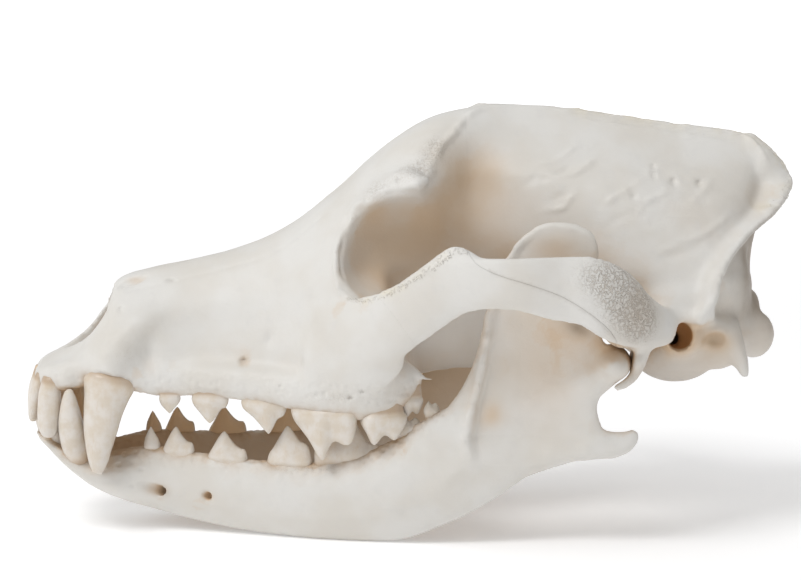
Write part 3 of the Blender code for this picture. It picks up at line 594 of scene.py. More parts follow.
def brainRoom():
    rows = []
    for row in finer(vault["rows"], 80):
        start, end, low, high = row[:4]
        if not hollows["brainFrom"] < start < hollows["brainTo"]:
            continue
        wall = hollows["brainWall"] + np.interp(start, *zip(*hollows["wallExtra"]))
        innerLow, innerHigh = low + hollows["brainWall"] + 0.6, high - hollows["crestDepth"]
        wide = []
        for level in (0.06, 1 / 3, 2 / 3, 0.97):
            z = innerLow + (innerHigh - innerLow) * level
            outer = (z - low) / (high - low)
            edge = (1 - abs(1 - 2 * outer) ** vault["square"]) ** (1 / vault["square"])
            wide.append(max(1.0, np.interp(outer, (0, 1 / 3, 2 / 3, 1), row[4:8]) * edge - wall))
        at = np.array((innerLow - low, innerHigh - low)) / (high - low)
        foot, head = start + (end - start) * at
        rows.append((foot, head, innerLow, innerHigh, *wide))
    return stack("brain", rows, 40, sides=48, square=4.0)


def grainedLine(name, bone, line, reach, size, count, seed):
    # Geometry Nodes scatter small bony grains on the bone along a line
    tree = bpy.data.node_groups.new(name, "GeometryNodeTree")
    for way in ("OUTPUT", "INPUT"):
        tree.interface.new_socket("Geometry", in_out=way, socket_type="NodeSocketGeometry")
    sizes = {"Grains": ("Int", count), "Grain radius": ("Float", size * mm), "Spread": ("Float", reach * mm),
             "Seed": ("Int", seed), "Bone": ("Object", bone)}
    for label, (kind, _) in sizes.items():
        tree.interface.new_socket(label, in_out="INPUT", socket_type="NodeSocket" + kind)
    wire, start = Wire(tree), tree.nodes.new("NodeGroupInput")
    given = {label: Wire(tree, start.outputs[label]) for label in ("Geometry", *sizes)}

    def node(kind, inputs, out=0, **settings):
        return wire.node("GeometryNode" + kind, settings, inputs, out=out)

    def chance(low, high):
        return wire.node("FunctionNodeRandomValue", {"data_type": "FLOAT_VECTOR"},
                         {0: low, 1: high, "Seed": given["Seed"]})

    points = node("CurveToPoints", {"Curve": node("MeshToCurve", {"Mesh": given["Geometry"]}),
                                    "Count": given["Grains"]}, "Points", mode="COUNT")
    drift = wire.node("VectorMath", {"operation": "SCALE"},
                      {0: chance((-1, -1, -1), (1, 1, 1)), "Scale": given["Spread"]})
    moved = node("SetPosition", {"Geometry": points, "Offset": drift})
    touch = node("Proximity", {0: node("ObjectInfo", {"Object": given["Bone"]}, "Geometry")}, "Position")
    landed = node("SetPosition", {"Geometry": moved, "Position": touch})
    grain = node("MeshIcoSphere", {"Subdivisions": 2, "Radius": given["Grain radius"]}, "Mesh")
    grains = node("InstanceOnPoints", {"Points": landed, "Instance": grain,
                                       "Scale": chance((0.6, 0.6, 0.5), (1.9, 1.3, 1)),
                                       "Rotation": chance((0, 0, 0), (0.5, 0.5, 6.3))})
    finished = node("SetMaterial", {"Geometry": node("RealizeInstances", {0: grains})})
    finished.joined(tree.nodes.new("NodeGroupOutput").inputs[0])
    mesh = bpy.data.meshes.new(name)
    mesh.from_pydata([Vector(p) * mm for p in line], [(k, k + 1) for k in range(len(line) - 1)], [])
    ob = linked(name, mesh)
    modifier = ob.modifiers.new("grains", "NODES")
    modifier.node_group = tree
    for item in tree.interface.items_tree:
        if item.in_out == "INPUT" and item.name in sizes:
            modifier[item.identifier] = sizes[item.name][1]
    evaluated(ob).data.materials.clear()
    return ob


grainLines = {   # piece, line, spread, grain radius, count
    "rimFront": ("faceBone", ((-18.6, -41, 76.4), (-14, -44, 76), (-9.4, -46.2, 77.6)), 0.7, 0.24, 44),
    "rimBack": ("cheek", ((-8.4, -46.8, 78.2), (-3.1, -49.4, 81), (3.2, -51.4, 85.2), (8.4, -53.2, 89),
        (12, -54.2, 92)), 0.9, 0.25, 120),
    "peak": ("cheek", ((8, -53.2, 89.4), (12.7, -54.4, 92.8), (15.4, -55, 91.9)), 1.2, 0.28, 34),
    "neck": ("braincaseBone", ((111.5, -2.6, 119.2), (117, -3, 113.6), (121, -4, 107), (119.5, -6.8, 101.5),
        (114.6, -11, 99.2)), 1.4, 0.26, 44),
}


def grainy(pieces):
    trees = {name: surfaceTree(piece) for name, piece in pieces.items()}
    for seed, (name, (target, line, *sizes)) in enumerate(grainLines.items(), 5):
        left, right = ("cheekLeft", "cheekRight") if target == "cheek" else (target, target)
        path = np.array([onSurface(trees[left], point) for point in finer(line, 4 * len(line))])
        for piece, side in ((left, 1), (right, -1)):
            bone = pieces[piece]
            grains = grainedLine(name, bone, path * (1, side, 1), *sizes, seed + side)
            meshed(gathered([bone.data, grains.data]), bone.data)
            bpy.data.objects.remove(grains)


def upperSkull():
    forms = bothSides([bar(name, rows) for name, rows in coreBars.items()])
    forms.append(stack("muzzle", muzzle["rows"], 110, square=muzzle["square"]))
    forms.append(stack("vault", vault["rows"], 110, square=vault["square"]))
    forms.append(stack("keel", keel["rows"], 90))
    core = melted("core", forms, grainSizes["core"])
    filleted(core, *fillets["core"])
    cut(core, bothSides([lump("socket", *size, detail=5) for size in sockets]))
    report("core of the skull")
    forms = [bar(name, rows) for name, rows in skullBars.items()]
    forms += [lump(name, *size) for name, size in skullLumps.items()]
    ob = melted("skull", [core] + bothSides(forms), grainSizes["skull"])
    filleted(ob, *fillets["skull"])
    report("skull with arches and crests")
    cutters = [lump("pit", centre, size) for centre, size in pits]
    cutters += [bar(name, rows, sides=24) for name, rows in channels.items()]
    cutters = bothSides(cutters)
    cutters.append(stack("nose", hollows["nose"], 40, sides=48))
    cutters.append(stack("throat", hollows["throat"], 30, sides=40))
    cutters.append(bar("tunnel", hollows["nerve"], sides=40))
    remeshed(cut(ob, cutters), grainSizes["skull"])
    report(f"hollows cut, {len(ob.data.vertices)} points")
    return ob


skullSculpt = {
    # centre, reach, push: presses the side that faces against the push
    "presses": (
        ((24, -24, 101), (16, 16, 20), (0, 2.2, 0)),
        ((22, -17, 111), (11, 14, 17), (-0.6, 3, 0)),
        ((-62, -21, 62), (16, 10, 10), (0, 1.2, 0)),
        ((-38, -30, 66), (14, 12, 12), (0, 1.6, 0)),
        ((108, -16, 84), (9, 10, 10), (-2.5, 0, 0)),
        ((-40, -9, 44), (55, 16, 8), (0, 0, 2.8)),
        ((-78.5, -20, 56), (5, 8, 9), (0, 1.6, 0)),
        ((98, -25, 84), (7, 9, 9), (0, 1.6, 0))),
    # centre, reach: places that are smooth in the animal
    "irons": (
        ((-45, -26, 62), (40, 14, 9)),
        ((-12, -38, 60), (22, 14, 13)),
        ((-2, -26, 90), (22, 14, 14)),
        ((40, -24, 92), (26, 16, 22)),
        ((78, -30, 84), (26, 14, 18)),
        ((-30, -14, 90), (30, 16, 16)),
        ((14, -13, 54), (24, 10, 14))),
    "deepIrons": (((-4, -22, 88), (20, 13, 15)), ((10, -20, 92), (16, 10, 18))),
    "ironRounds": 45,
    "deepRounds": 160,
    # raised or sunk lines: points, half width, height
    "lines": (
        (((4.4, -31, 108.9), (6.1, -29.6, 110.9), (9.7, -26, 115.6), (12.7, -21.5, 121.2),
            (16.5, -17, 125.4), (20.5, -11.5, 127.9), (26, -5.5, 129.6), (33, -1, 130)), 1.2, 1.15),
        (((3, -29.4, 108.6), (-4, -26.8, 107.6), (-8.5, -25.2, 105.8), (-13, -26, 103.6),
            (-17.6, -28.6, 99), (-20.6, -31.8, 92.6), (-21.6, -34.6, 84.4), (-20.4, -38, 78.4),
            (-16.5, -42.4, 76)), 0.9, 0.85),
        (((-16.5, -42.4, 76), (-8.9, -46, 78.2), (-3.1, -49, 81.4), (3.2, -51, 85.6), (8.4, -53, 89.4),
            (12.7, -54, 92.8), (16.5, -55.4, 91.4)), 1.1, 0.45),
        (((-17.5, -24, 98), (-19.4, -27, 92), (-19.6, -30, 84.6), (-18.6, -33, 79)), 0.9, -0.75),
        (((76, -34, 88.4), (80.1, -33, 90.2), (85.7, -32, 91.8), (90.9, -30, 93.6), (95.6, -27, 96.5),
            (99, -25, 98.6)), 1, 0.55),
        (((76, -34, 86), (84, -33, 88.6), (92, -30, 90.6)), 1.6, -0.45),
        (((50.8, -28, 107.7), (48.8, -29, 105), (46.3, -30, 102.5), (41, -24, 99.6)), 0.8, 0.5),
        (((49, -28, 109), (46.4, -28, 106), (42, -26, 103.4)), 1, -0.4),
        (((42.6, -22, 112.2), (51.5, -24, 115.4), (59.6, -20, 121)), 0.9, 0.55),
        (((36, -20, 107), (44, -24, 113), (52, -22, 119)), 1.1, -0.4),
        (((40, -20, 116), (47, -20, 119), (54, -16, 123.6)), 0.8, 0.45),
        (((60, -32, 104), (66, -30, 111), (74, -26, 116)), 1, 0.5),
        (((70, -33, 101), (76, -31, 108), (83, -27, 113)), 1, 0.45),
        (((88, -30, 104), (92, -26, 110), (98, -20, 115)), 1.3, 0.35),
        (((58, -33, 96), (64, -33, 100), (72, -33, 103)), 1.3, -0.3),
        (((105.8, -22, 93.2), (100.2, -28, 88), (95.6, -33, 81.3), (94.4, -35, 77)), 1.2, 0.5),
        (((60, -0.6, 129), (77.8, -0.6, 126.2), (93.5, -0.6, 124.2), (106.1, -0.8, 122)), 0.6, -0.5),
        (((48, -2.6, 128.6), (62, -3, 127), (77.8, -3.2, 124.6), (93.5, -3.6, 122.4), (108, -4.2, 119.8),
            (114, -6, 112)), 0.6, 0.45),
        (((56, -4.4, 125.6), (70, -5, 123.6), (86, -5.4, 121.2), (101, -6, 118.6)), 0.6, 0.35),
        (((52, -3.6, 127.2), (70, -4, 124.4), (86, -4.4, 122.4), (104, -5, 119)), 0.6, -0.35),
        (((-99, -12, 60), (-94.7, -12.5, 64.1), (-92.1, -12.5, 71), (-88.3, -10.5, 76)), 1.3, 0.5),
        (((-78, 0, 79.6), (-64, 0, 82.5), (-40, 0, 89.8), (-20, 0, 103.4)), 0.7, -0.3),
        (((-86, -10, 74), (-64, -11.5, 79), (-40, -13, 86), (-24, -12, 98)), 0.8, -0.2),
        (((-98, -19, 50.5), (-91.5, -21.5, 51.6), (-85, -21, 50)), 1.2, 0.4),
        (((47, -59, 91.4), (58, -57, 88.4), (68, -54, 81), (75, -48, 74.6)), 1.2, 0.3)),
    # small holes: centre, half widths across, depth, direction into the bone
    "holes": (
        ((-49.2, -26, 54.7), (0.9, 0.9), 1.6, (0, 1, 0)),
        ((-86.5, -17, 69.5), (0.7, 0.7), 0.8, (0, 1, 0)),
        ((-71.2, -14, 77.9), (1.1, 0.6), 0.7, (0, 1, -0.5)),
        ((-13.9, -27, 106.3), (0.8, 0.7), 1, (0, 1, -0.5)),
        ((-2, -24, 109.8), (0.7, 0.7), 0.8, (0, 1, -0.5)),
        ((-14, -40, 48), (0.7, 0.5), 0.7, (0, 1, 0)),
        ((-17.6, -40, 46), (0.7, 0.6), 0.8, (0, 1, 0)),
        ((-38, -32, 48), (0.6, 0.6), 0.6, (0, 1, 0)),
        ((84.2, -24, 114.2), (0.8, 1.1), 1, (0, 1, 0)),
        ((77.7, -22, 115), (0.7, 0.9), 0.9, (0, 1, 0)),
        ((78, -20, 117.8), (0.7, 0.7), 0.8, (0, 1, 0)),
        ((70, -29, 108), (0.7, 0.7), 0.8, (0, 1, 0)),
        ((92, -22, 112), (0.8, 0.9), 0.9, (0, 1, 0))),
    # places of uneven bone: gain, centres and reaches; the mesh is finer where it is pitted
    "masks": {
        "pitted": (1.5, (((60, -57, 79), (13, 8, 13)), ((54, -58, 86), (11, 7, 8)),
            ((69, -52, 72), (10, 10, 11)))),
        "stippled": (1.2, (((1, -24, 112), (9, 9, 9)), ((9, -18, 120), (9, 8, 9)),
            ((-10, -22, 106), (9, 8, 7)))),
        "rough": (1.6, (((-86, -21, 56), (9, 9, 11)),)),
        "muscle": (1.3, (((82, -26, 104), (26, 22, 18)),))},
    # the gum line for the finer mesh and for its mask: level, reach up and down, rear end, inner side
    "gumMesh": (46.5, 5, 4, -13),
    "gumMask": (47, 7, 2, -12),
    # mask, size, seed, height, and a stretch where there is one
    "clouds": (
        ("all", 14, 3, 0.14),
        ("all", 5, 4, 0.07),
        ("all", 2.4, 5, 0.03),
        ("rough", 1.9, 6, 0.16),
        ("muscle", 3, 8, 0.3, 0.45, 1, 1.6),
        ("gum", 1.5, 9, 0.22),
        ("crest", 1.3, 10, 0.3, 0.5, 1, 1),
        ("crest", 2.6, 11, 0.25),
        ("stippled", 2, 22, 0.1)),
    # mask, spacing, seed, reach, depth
    "dents": (("muscle", 6, 7, 0.5, 0.8), ("stippled", 2.2, 23, 0.4, 0.6), ("gum", 2.4, 14, 0.45, 0.8)),
    # winding grooves of the pitted places
    "worms": {"size": 1.15, "seed": 12, "width": 0.26, "depth": 0.17},
}


def pressed(ob, table):
    co = getPoints(ob)
    turn = sideTurn(co)
    points, facing = co * turn, getNormals(ob) * turn
    for centre, reach, push in table:
        push = np.array(push)
        against = held(-(facing @ (push / np.linalg.norm(push))) * 1.5 + 0.2)
        points = points + (near(points, centre, reach) * against)[:, None] * push
    setPoints(ob, points * turn)


def lineStrength(points, line, half, taper=0.0):
    # 1 on a line, fading over its half width and towards its ends
    line = np.array(line)
    total = np.zeros(len(points))
    close = ((points > line.min(axis=0) - 3 * half) & (points < line.max(axis=0) + 3 * half)).all(axis=1)
    some = points[close]
    total[close] = np.exp(-((lineDistance(some, line) / half) ** 2))
    if taper:
        ends = np.minimum(*(np.linalg.norm(some - line[k], axis=1) for k in (0, -1)))
        total[close] *= held(ends / taper) ** 0.7
    return total


def lined(ob, table, tree):
    co = getPoints(ob)
    points, total = folded(co), np.zeros(len(co))
    for line, half, height in table:
        total += height * lineStrength(points, draped(tree, line), half, 3.5 * half)
    swell = 0.85 + 0.6 * clouds(co, 2.8, 21)
    co = co + getNormals(ob) * (total * swell)[:, None]
    setPoints(ob, co)
    return co


def uneven(co, masks, table):
    # the height of the natural unevenness at each point
    total = np.zeros(len(co))
    for mask, size, seed, height, *stretch in table["clouds"]:
        total += masks.get(mask, 1) * clouds(co * (stretch or 1), size, seed) * height
    for mask, size, seed, reach, depth in table["dents"]:
        total -= masks[mask] * held(reach - pebbles(co, size, seed)) * depth
    return total


def holed(co, table, tree):
    turn = sideTurn(co)
    points = co * turn
    for centre, (wide, tall), depth, way in table:
        way = np.array(way, float) / np.linalg.norm(way)
        gap = points - onSurface(tree, centre)
        along = gap @ way
        off = gap - along[:, None] * way
        spread = np.sqrt((off[:, 0] / wide) ** 2 + (np.hypot(off[:, 1], off[:, 2]) / tall) ** 2)
        sunk = depth * held(1.6 - spread) * (np.abs(along) < 4)
        points = points + sunk[:, None] * way
    return points * turn


def sculptedSkull(ob):
    table = skullSculpt
    pressed(ob, table["presses"])
    ironed(ob, table["irons"], table["ironRounds"])
    ironed(ob, table["deepIrons"], table["deepRounds"])
    points, tree = folded(getPoints(ob)), surfaceTree(ob)
    pitted = spots(points, table["masks"]["pitted"][1])
    edges = sum(lineStrength(points, draped(tree, line), 2.6) for line, _ in crestLines)
    level, reach, rear, inner = table["gumMesh"]
    gum = (np.abs(points[:, 2] - level) < reach) & (points[:, 0] < rear) & (points[:, 1] < inner)
    refined(ob, (pitted > 0.22) | (edges > 0.3) | gum)
    report(f"skull refined, {len(ob.data.vertices)} points")
    co = lined(ob, table["lines"], tree)
    points, normals = folded(co), getNormals(ob)
    masks = {name: held(spots(points, places) * gain) for name, (gain, places) in table["masks"].items()}
    crests = [lineStrength(points, draped(tree, line), half * 0.8) for line, half in crestLines]
    masks["crest"] = held(sum(crests))
    level, reach, rear, inner = table["gumMask"]
    masks["gum"] = held(1 - np.abs(points[:, 2] - level) / reach)
    masks["gum"] *= (points[:, 0] < rear) & (points[:, 1] < inner)
    worms = table["worms"]
    groove = held(1 - np.abs(clouds(co, worms["size"], worms["seed"])) / worms["width"]) * worms["depth"]
    height = uneven(co, masks, table) - masks["pitted"] * groove
    setPoints(ob, holed(co + normals * height[:, None], table["holes"], tree))
    return cut(ob, [brainRoom()])


seams = {   # lines in x and z, reach to the side, gap
    "face": (((19, 140), (20, 110), (17, 90), (16, 38)), (-30, 30), 0.015),
    "cheek": (((-14.5, 84.5), (-9, 77.5), (-3, 70), (2, 63), (8, 57)), (38, 75), 0.015),
    "temple": (
        ((14.5, 99), (17.5, 90.5), (24, 86.6), (34, 83.4), (44, 79.4), (53, 73.6), (59.5, 67), (62.5, 57)),
        (46, 75),
        0.06),
}


def partedSkull(ob):
    line, reach, gap = seams["face"]
    walls = [parting("seam", line, *reach, gap)]
    for side, name in itertools.product((-1, 1), ("cheek", "temple")):
        line, reach, gap = seams[name]
        walls.append(parting("seam", finer(line, 24), *(side * r for r in reach), gap))
    cut(ob, walls)
    found = {}
    for part in surfaces(ob, 4):
        centre = getPoints(part).mean(axis=0)
        if abs(centre[1]) > 25:
            name = "cheekLeft" if centre[1] < 0 else "cheekRight"
        else:
            name = "faceBone" if centre[0] < 18 else "braincaseBone"
        found.setdefault(name, part)
        part.name = name
    report("skull parted: " + ", ".join(f"{name} {len(part.data.vertices)}" for name, part in found.items()))
    return found


# the lower jaw

jawForms = {
    "body": (   # foot x, head x, foot z, head z, four half widths, foot y, head y
        (-110, -114.5, 25, 31, 4, 5.5, 6, 5, -4, -5.5),
        (-104, -107.5, 18.5, 28, 6.5, 8.5, 9.5, 8, -5.5, -8.5),
        (-96.5, -99, 12.5, 23.5, 6.5, 9.5, 10, 7.5, -6.5, -9),
        (-88, -90, 8.5, 24, 6, 9, 8.5, 5.5, -7.5, -9.8),
        (-78, -79.5, 5.6, 26, 5.2, 7.5, 6.8, 4.6, -9, -11.5),
        (-69, -70, 3.2, 25.4, 4.6, 6.4, 5.8, 4.2, -11, -14),
        (-54, -55, 0.6, 23.8, 4.8, 6.6, 6.2, 4.4, -15.5, -18.5),
        (-38.5, -38.5, -0.8, 23.2, 4.8, 6.9, 6.6, 4.8, -20.5, -23.5),
        (-23, -22, -1.3, 24, 4.8, 7.1, 6.7, 5, -25.5, -27.5),
        (-8, -6, -1, 30.4, 4.6, 6.6, 6.5, 4.8, -29.8, -31.5),
        (0.5, 3, 0.3, 36.6, 4.4, 5.8, 6, 4.8, -32, -33.6),
        (8.5, 10, 3.4, 41.2, 3.9, 5.2, 5.4, 4.6, -34, -35.8),
        (20, 20, 9.2, 44, 3.2, 4, 4.2, 3.6, -36.5, -37.5),
        (34, 30, 19, 44, 2.6, 3, 3.2, 3, -39, -39)),
    "plate": (   # z, front x, rear x, four half widths backwards, front y, rear y
        (12, -4, 21, 3, 4.5, 3.6, 2.4, -33, -36),
        (20, -2, 35.5, 3, 4.6, 3, 2.2, -35, -38.5),
        (28, 1, 55, 3.2, 4.4, 2.6, 2.4, -36, -42),
        (36, 4, 58.5, 3.2, 4.4, 2.4, 2.6, -37, -43.5),
        (43, 12, 57, 3, 4.2, 2.2, 2.8, -38, -44.5),
        (52, 17.5, 59, 3, 4, 2, 2.6, -39, -44.5),
        (62, 20.8, 59, 3, 3.6, 1.9, 2, -40, -43),
        (72, 23.3, 56.5, 2.8, 3, 1.8, 1.7, -41, -42.5),
        (82, 26.5, 57, 2.4, 2.4, 1.8, 1.6, -40.5, -41.5),
        (90, 30.5, 57, 2, 2.2, 1.9, 1.6, -39.5, -40.5),
        (95.5, 35.5, 55.5, 1.6, 2, 1.9, 1.6, -38.5, -39.5),
        (98.4, 41.5, 50, 1.2, 1.4, 1.4, 1.2, -38, -38.5)),
    "angle": (
        (40, -41, 32, 2.4, 6.5), (54, -43, 31.6, 2.6, 5.3), (62.5, -43.6, 31.4, 2.4, 4.2),
        (66.6, -44, 33.4, 2, 3), (68, -44.2, 36, 1.3, 1.5)),
    "neck": (
        (36, -41.6, 42, 1, 2.6), (47, -43.4, 46.2, 2.7, 5.4), (55, -44.5, 51, 3.4, 5.2),
        (60.5, -44, 54.5, 5, 4.2)),
    "joint": ((61, -41.8, 56.4), (5.9, 11.4, 5.4)),
    "ridge": (
        (24, 18.8), (27.6, 18.1), (34.2, 17.3), (43.8, 18.9), (53.2, 21.2), (62.2, 22.7), (71.8, 23.9),
        (80, 26), (90, 31), (98, 38)),
    "floor": -0.75,
    "chinGap": 0.34,
    "gumLine": (
        (-112, 28), (-104, 25.5), (-96, 24), (-60, 24), (-30, 23), (-11, 27.3), (-3, 31), (5, 38),
        (10, 41)),
}
jawSculpt = {
    "presses": (((33, -47, 48), (12, 9, 24), (0, 1.4, 0)), ((44, -46, 84), (12, 8, 14), (0, 0.7, 0))),
    "irons": (((12, -38, 4), (18, 14, 12)), ((40, -44, 40), (26, 12, 24)), ((-20, -30, 12), (50, 14, 9))),
    "ironRounds": 30,
    # the hollow behind the ridge: depth, its share at each height
    "fossa": (2.5, ((25, 0), (34, 1), (70, 0.85), (82, 0.45), (92, 0.4), (96.5, 0))),
    "masks": {"chin": (1.4, (((-90, -14, 20), (13, 10, 8)),))},
    "clouds": (
        ("all", 12, 13, 0.12),
        ("all", 4.6, 14, 0.06),
        ("all", 2.2, 15, 0.03),
        ("rim", 1.5, 16, 0.25),
        ("chin", 1.7, 18, 0.14, 0.5, 1, 1)),
    "dents": (("rim", 2.2, 17, 0.45, 0.8),),
    "lines": (
        (((24.6, -42, 74), (23.9, -42, 71.8), (22.7, -42.5, 62.2), (21.2, -43, 53.2), (18.9, -42, 43.8),
            (17.3, -40, 34.2), (18.1, -38, 27.6)), 1.4, 1.3),
        (((60, -46, 28), (48, -46, 29), (36, -44, 34)), 2.2, 0.5),
        (((27, -40.6, 83), (30.6, -40, 89.6), (35, -39.6, 94.4), (41, -39.4, 97.4), (48, -39.4, 97.2),
            (54.6, -40.6, 93), (56.6, -41.6, 86)), 1.3, 0.6),
        (((56, -47, 57), (48, -46, 51), (38, -45, 47), (30, -44, 38)), 2.6, 0.5),
        (((66, -46, 38), (58, -46, 34), (50, -45, 31)), 1.4, 0.4),
        (((-90, -15.5, 27), (-96, -17.5, 18)), 3, 0.3),
        (((46, -46, 71.6), (50.5, -46, 68.4), (55.5, -46, 65.2)), 1.5, -1.4),
        (((-60, -20, 18), (-30, -27, 17), (-6, -35, 23), (8, -38, 34)), 4, 0.35)),
    "holes": (
        ((-84, -17, 14.6), (0.6, 0.6), 0.5, (0, 1, 0)),
        ((-88, -16, 21), (0.7, 0.5), 0.5, (0, 1, 0)),
        ((-92.5, -15, 19), (0.6, 0.5), 0.5, (0, 1, 0)),
        ((-81, -16, 19.4), (0.8, 0.5), 0.5, (0, 1, 0))),
    # nerve openings: bars that are cut out
    "channels": (
        ((-82.8, -18, 14.9, 1, 1.2), (-79, -17.3, 13.9, 1.5, 1.6), (-75, -16.2, 12.8, 1.7, 1.7),
            (-71.4, -13.4, 12, 1.5, 1.5), (-68.6, -11, 11.6, 1, 1)),
        ((-63.2, -22.2, 12.2, 1.1, 1.2), (-60.8, -20.6, 11.9, 1.5, 1.5), (-58.9, -18, 11.5, 1.2, 1.2))),
}


def jawHalf():
    table = jawSculpt
    forms = [stack("body", jawForms["body"], 110, square=2.6), plate("plate", jawForms["plate"], 80)]
    forms += [bar("angle", jawForms["angle"]), bar("neck", jawForms["neck"])]
    forms.append(lump("joint", *jawForms["joint"]))
    ob = melted("jaw", forms, grainSizes["jaw"])
    filleted(ob, *fillets["jaw"])
    cut(ob, [bar("channel", rows) for rows in table["channels"]])
    remeshed(ob, grainSizes["jaw"])
    pressed(ob, table["presses"])
    ironed(ob, table["irons"], table["ironRounds"])
    co, normals = getPoints(ob), getNormals(ob)
    behind = co[:, 0] - np.interp(co[:, 2], *zip(*jawForms["ridge"]))
    depth, levels = table["fossa"]
    share = held((behind - 0.4) / 2.6) * held((54 - co[:, 0]) / 20) * np.interp(co[:, 2], *zip(*levels))
    co[:, 1] += depth * share * held(-normals[:, 1] * 1.6 - 0.2)
    setPoints(ob, co)

    def gumGap(co):
        return np.abs(co[:, 2] - np.interp(co[:, 0], *zip(*jawForms["gumLine"])))

    refined(ob, (gumGap(co) < 4.5) & (co[:, 0] < 11))
    tree = surfaceTree(ob)
    lined(ob, table["lines"], tree)
    co, normals = getPoints(ob), getNormals(ob)
    masks = {name: held(spots(co, places) * gain) for name, (gain, places) in table["masks"].items()}
    masks["rim"] = held(1 - gumGap(co) / 6.0) * (co[:, 0] < 14)
    co = holed(co + normals * uneven(co, masks, table)[:, None], table["holes"], tree)
    co[:, 1] = np.minimum(co[:, 1], -jawForms["chinGap"] / 2)
    co[:, 2] = np.maximum(co[:, 2], jawForms["floor"])
    setPoints(ob, co)
    report(f"jaw half, {len(co)} points")
    return ob


# the teeth: form, length, width, height, x, y, z of the neck, turn, lean to the nose, lean outwards, root

upperTeeth = {
    "incisor1": ("incisor", 5.2, 6.6, 12.2, -112.8, -3.4, 46, 4, 13, 0, 2),
    "incisor2": ("incisor", 5.8, 7.4, 12.8, -111.6, -9.5, 46, 18, 13, 4, 2),
    "incisor3": ("corner", 8.2, 7.4, 16.2, -108.4, -14.4, 45.6, 36, 3, 5, 2.2),
    "canine": ("canine", 13.2, 9.6, 28.9, -90.1, -18.9, 47.4, 8, 14.5, 9, 3.6),
    "premolar1": ("upperFirst", 7.2, 4.8, 5.4, -72, -19.8, 43, 6, 0, 0, 4),
    "premolar2": ("upperSmall", 12, 5.4, 8.4, -59.6, -22, 43.2, 10, 0, 0, 4.5),
    "premolar3": ("upperThird", 14.8, 6.2, 10.6, -43.2, -26.8, 42.8, 16, 0, 0, 5),
    "premolar4": ("upperBlade", 20.8, 8.2, 15.4, -25.2, -33.4, 41.2, 17, 0, 4, 6),
    "molar1": ("upperGrinder", 13.6, 16.4, 9.4, -7.8, -31.2, 39.8, -10, 0, 0, 5),
    "molar2": ("upperGrinder", 7.2, 10.8, 6.2, 0.9, -29.2, 44.2, -12, 0, 0, 3.6),
}
lowerTeeth = {
    "incisor1": ("incisor", 4.2, 4.4, 7.6, -111.6, -2.7, 30, 0, 12, 0, 1.4),
    "incisor2": ("incisor", 4.6, 5, 8.4, -110.4, -7, 29.2, 14, 10, 2, 1.4),
    "incisor3": ("incisor", 5, 5, 8.4, -106.4, -10.4, 27.4, 34, 4, 2, 1.4),
    "canine": ("lowCanine", 8.4, 7.8, 22.4, -100.8, -14.4, 24.4, 8, 10, 14, 3),
    "premolar1": ("lowerFirst", 5.4, 4.4, 7.2, -77.8, -12.2, 25, 8, 0, 0, 4),
    "premolar2": ("lowerSmall", 10.4, 5, 8.6, -69.6, -14.8, 24.2, 12, 0, 0, 4.5),
    "premolar3": ("lowerSmall", 13.2, 5.6, 9.4, -54.5, -19.2, 22.6, 16, 0, 0, 5),
    "premolar4": ("lowerFourth", 14, 6.4, 12.4, -35.6, -24.4, 22.2, 16, 0, 0, 5),
    "molar1": ("lowerBlade", 22.6, 7, 15.4, -17.2, -28, 24, 13, 0, -4, 6),
    "molar2": ("lowerGrinder", 8.8, 6.8, 6.6, 0.6, -31.2, 32.4, 8, 0, 0, 4),
    "molar3": ("lowerGrinder", 5, 4.8, 4.2, 7.4, -33.4, 39.6, 8, 0, 0, 3.4),
}
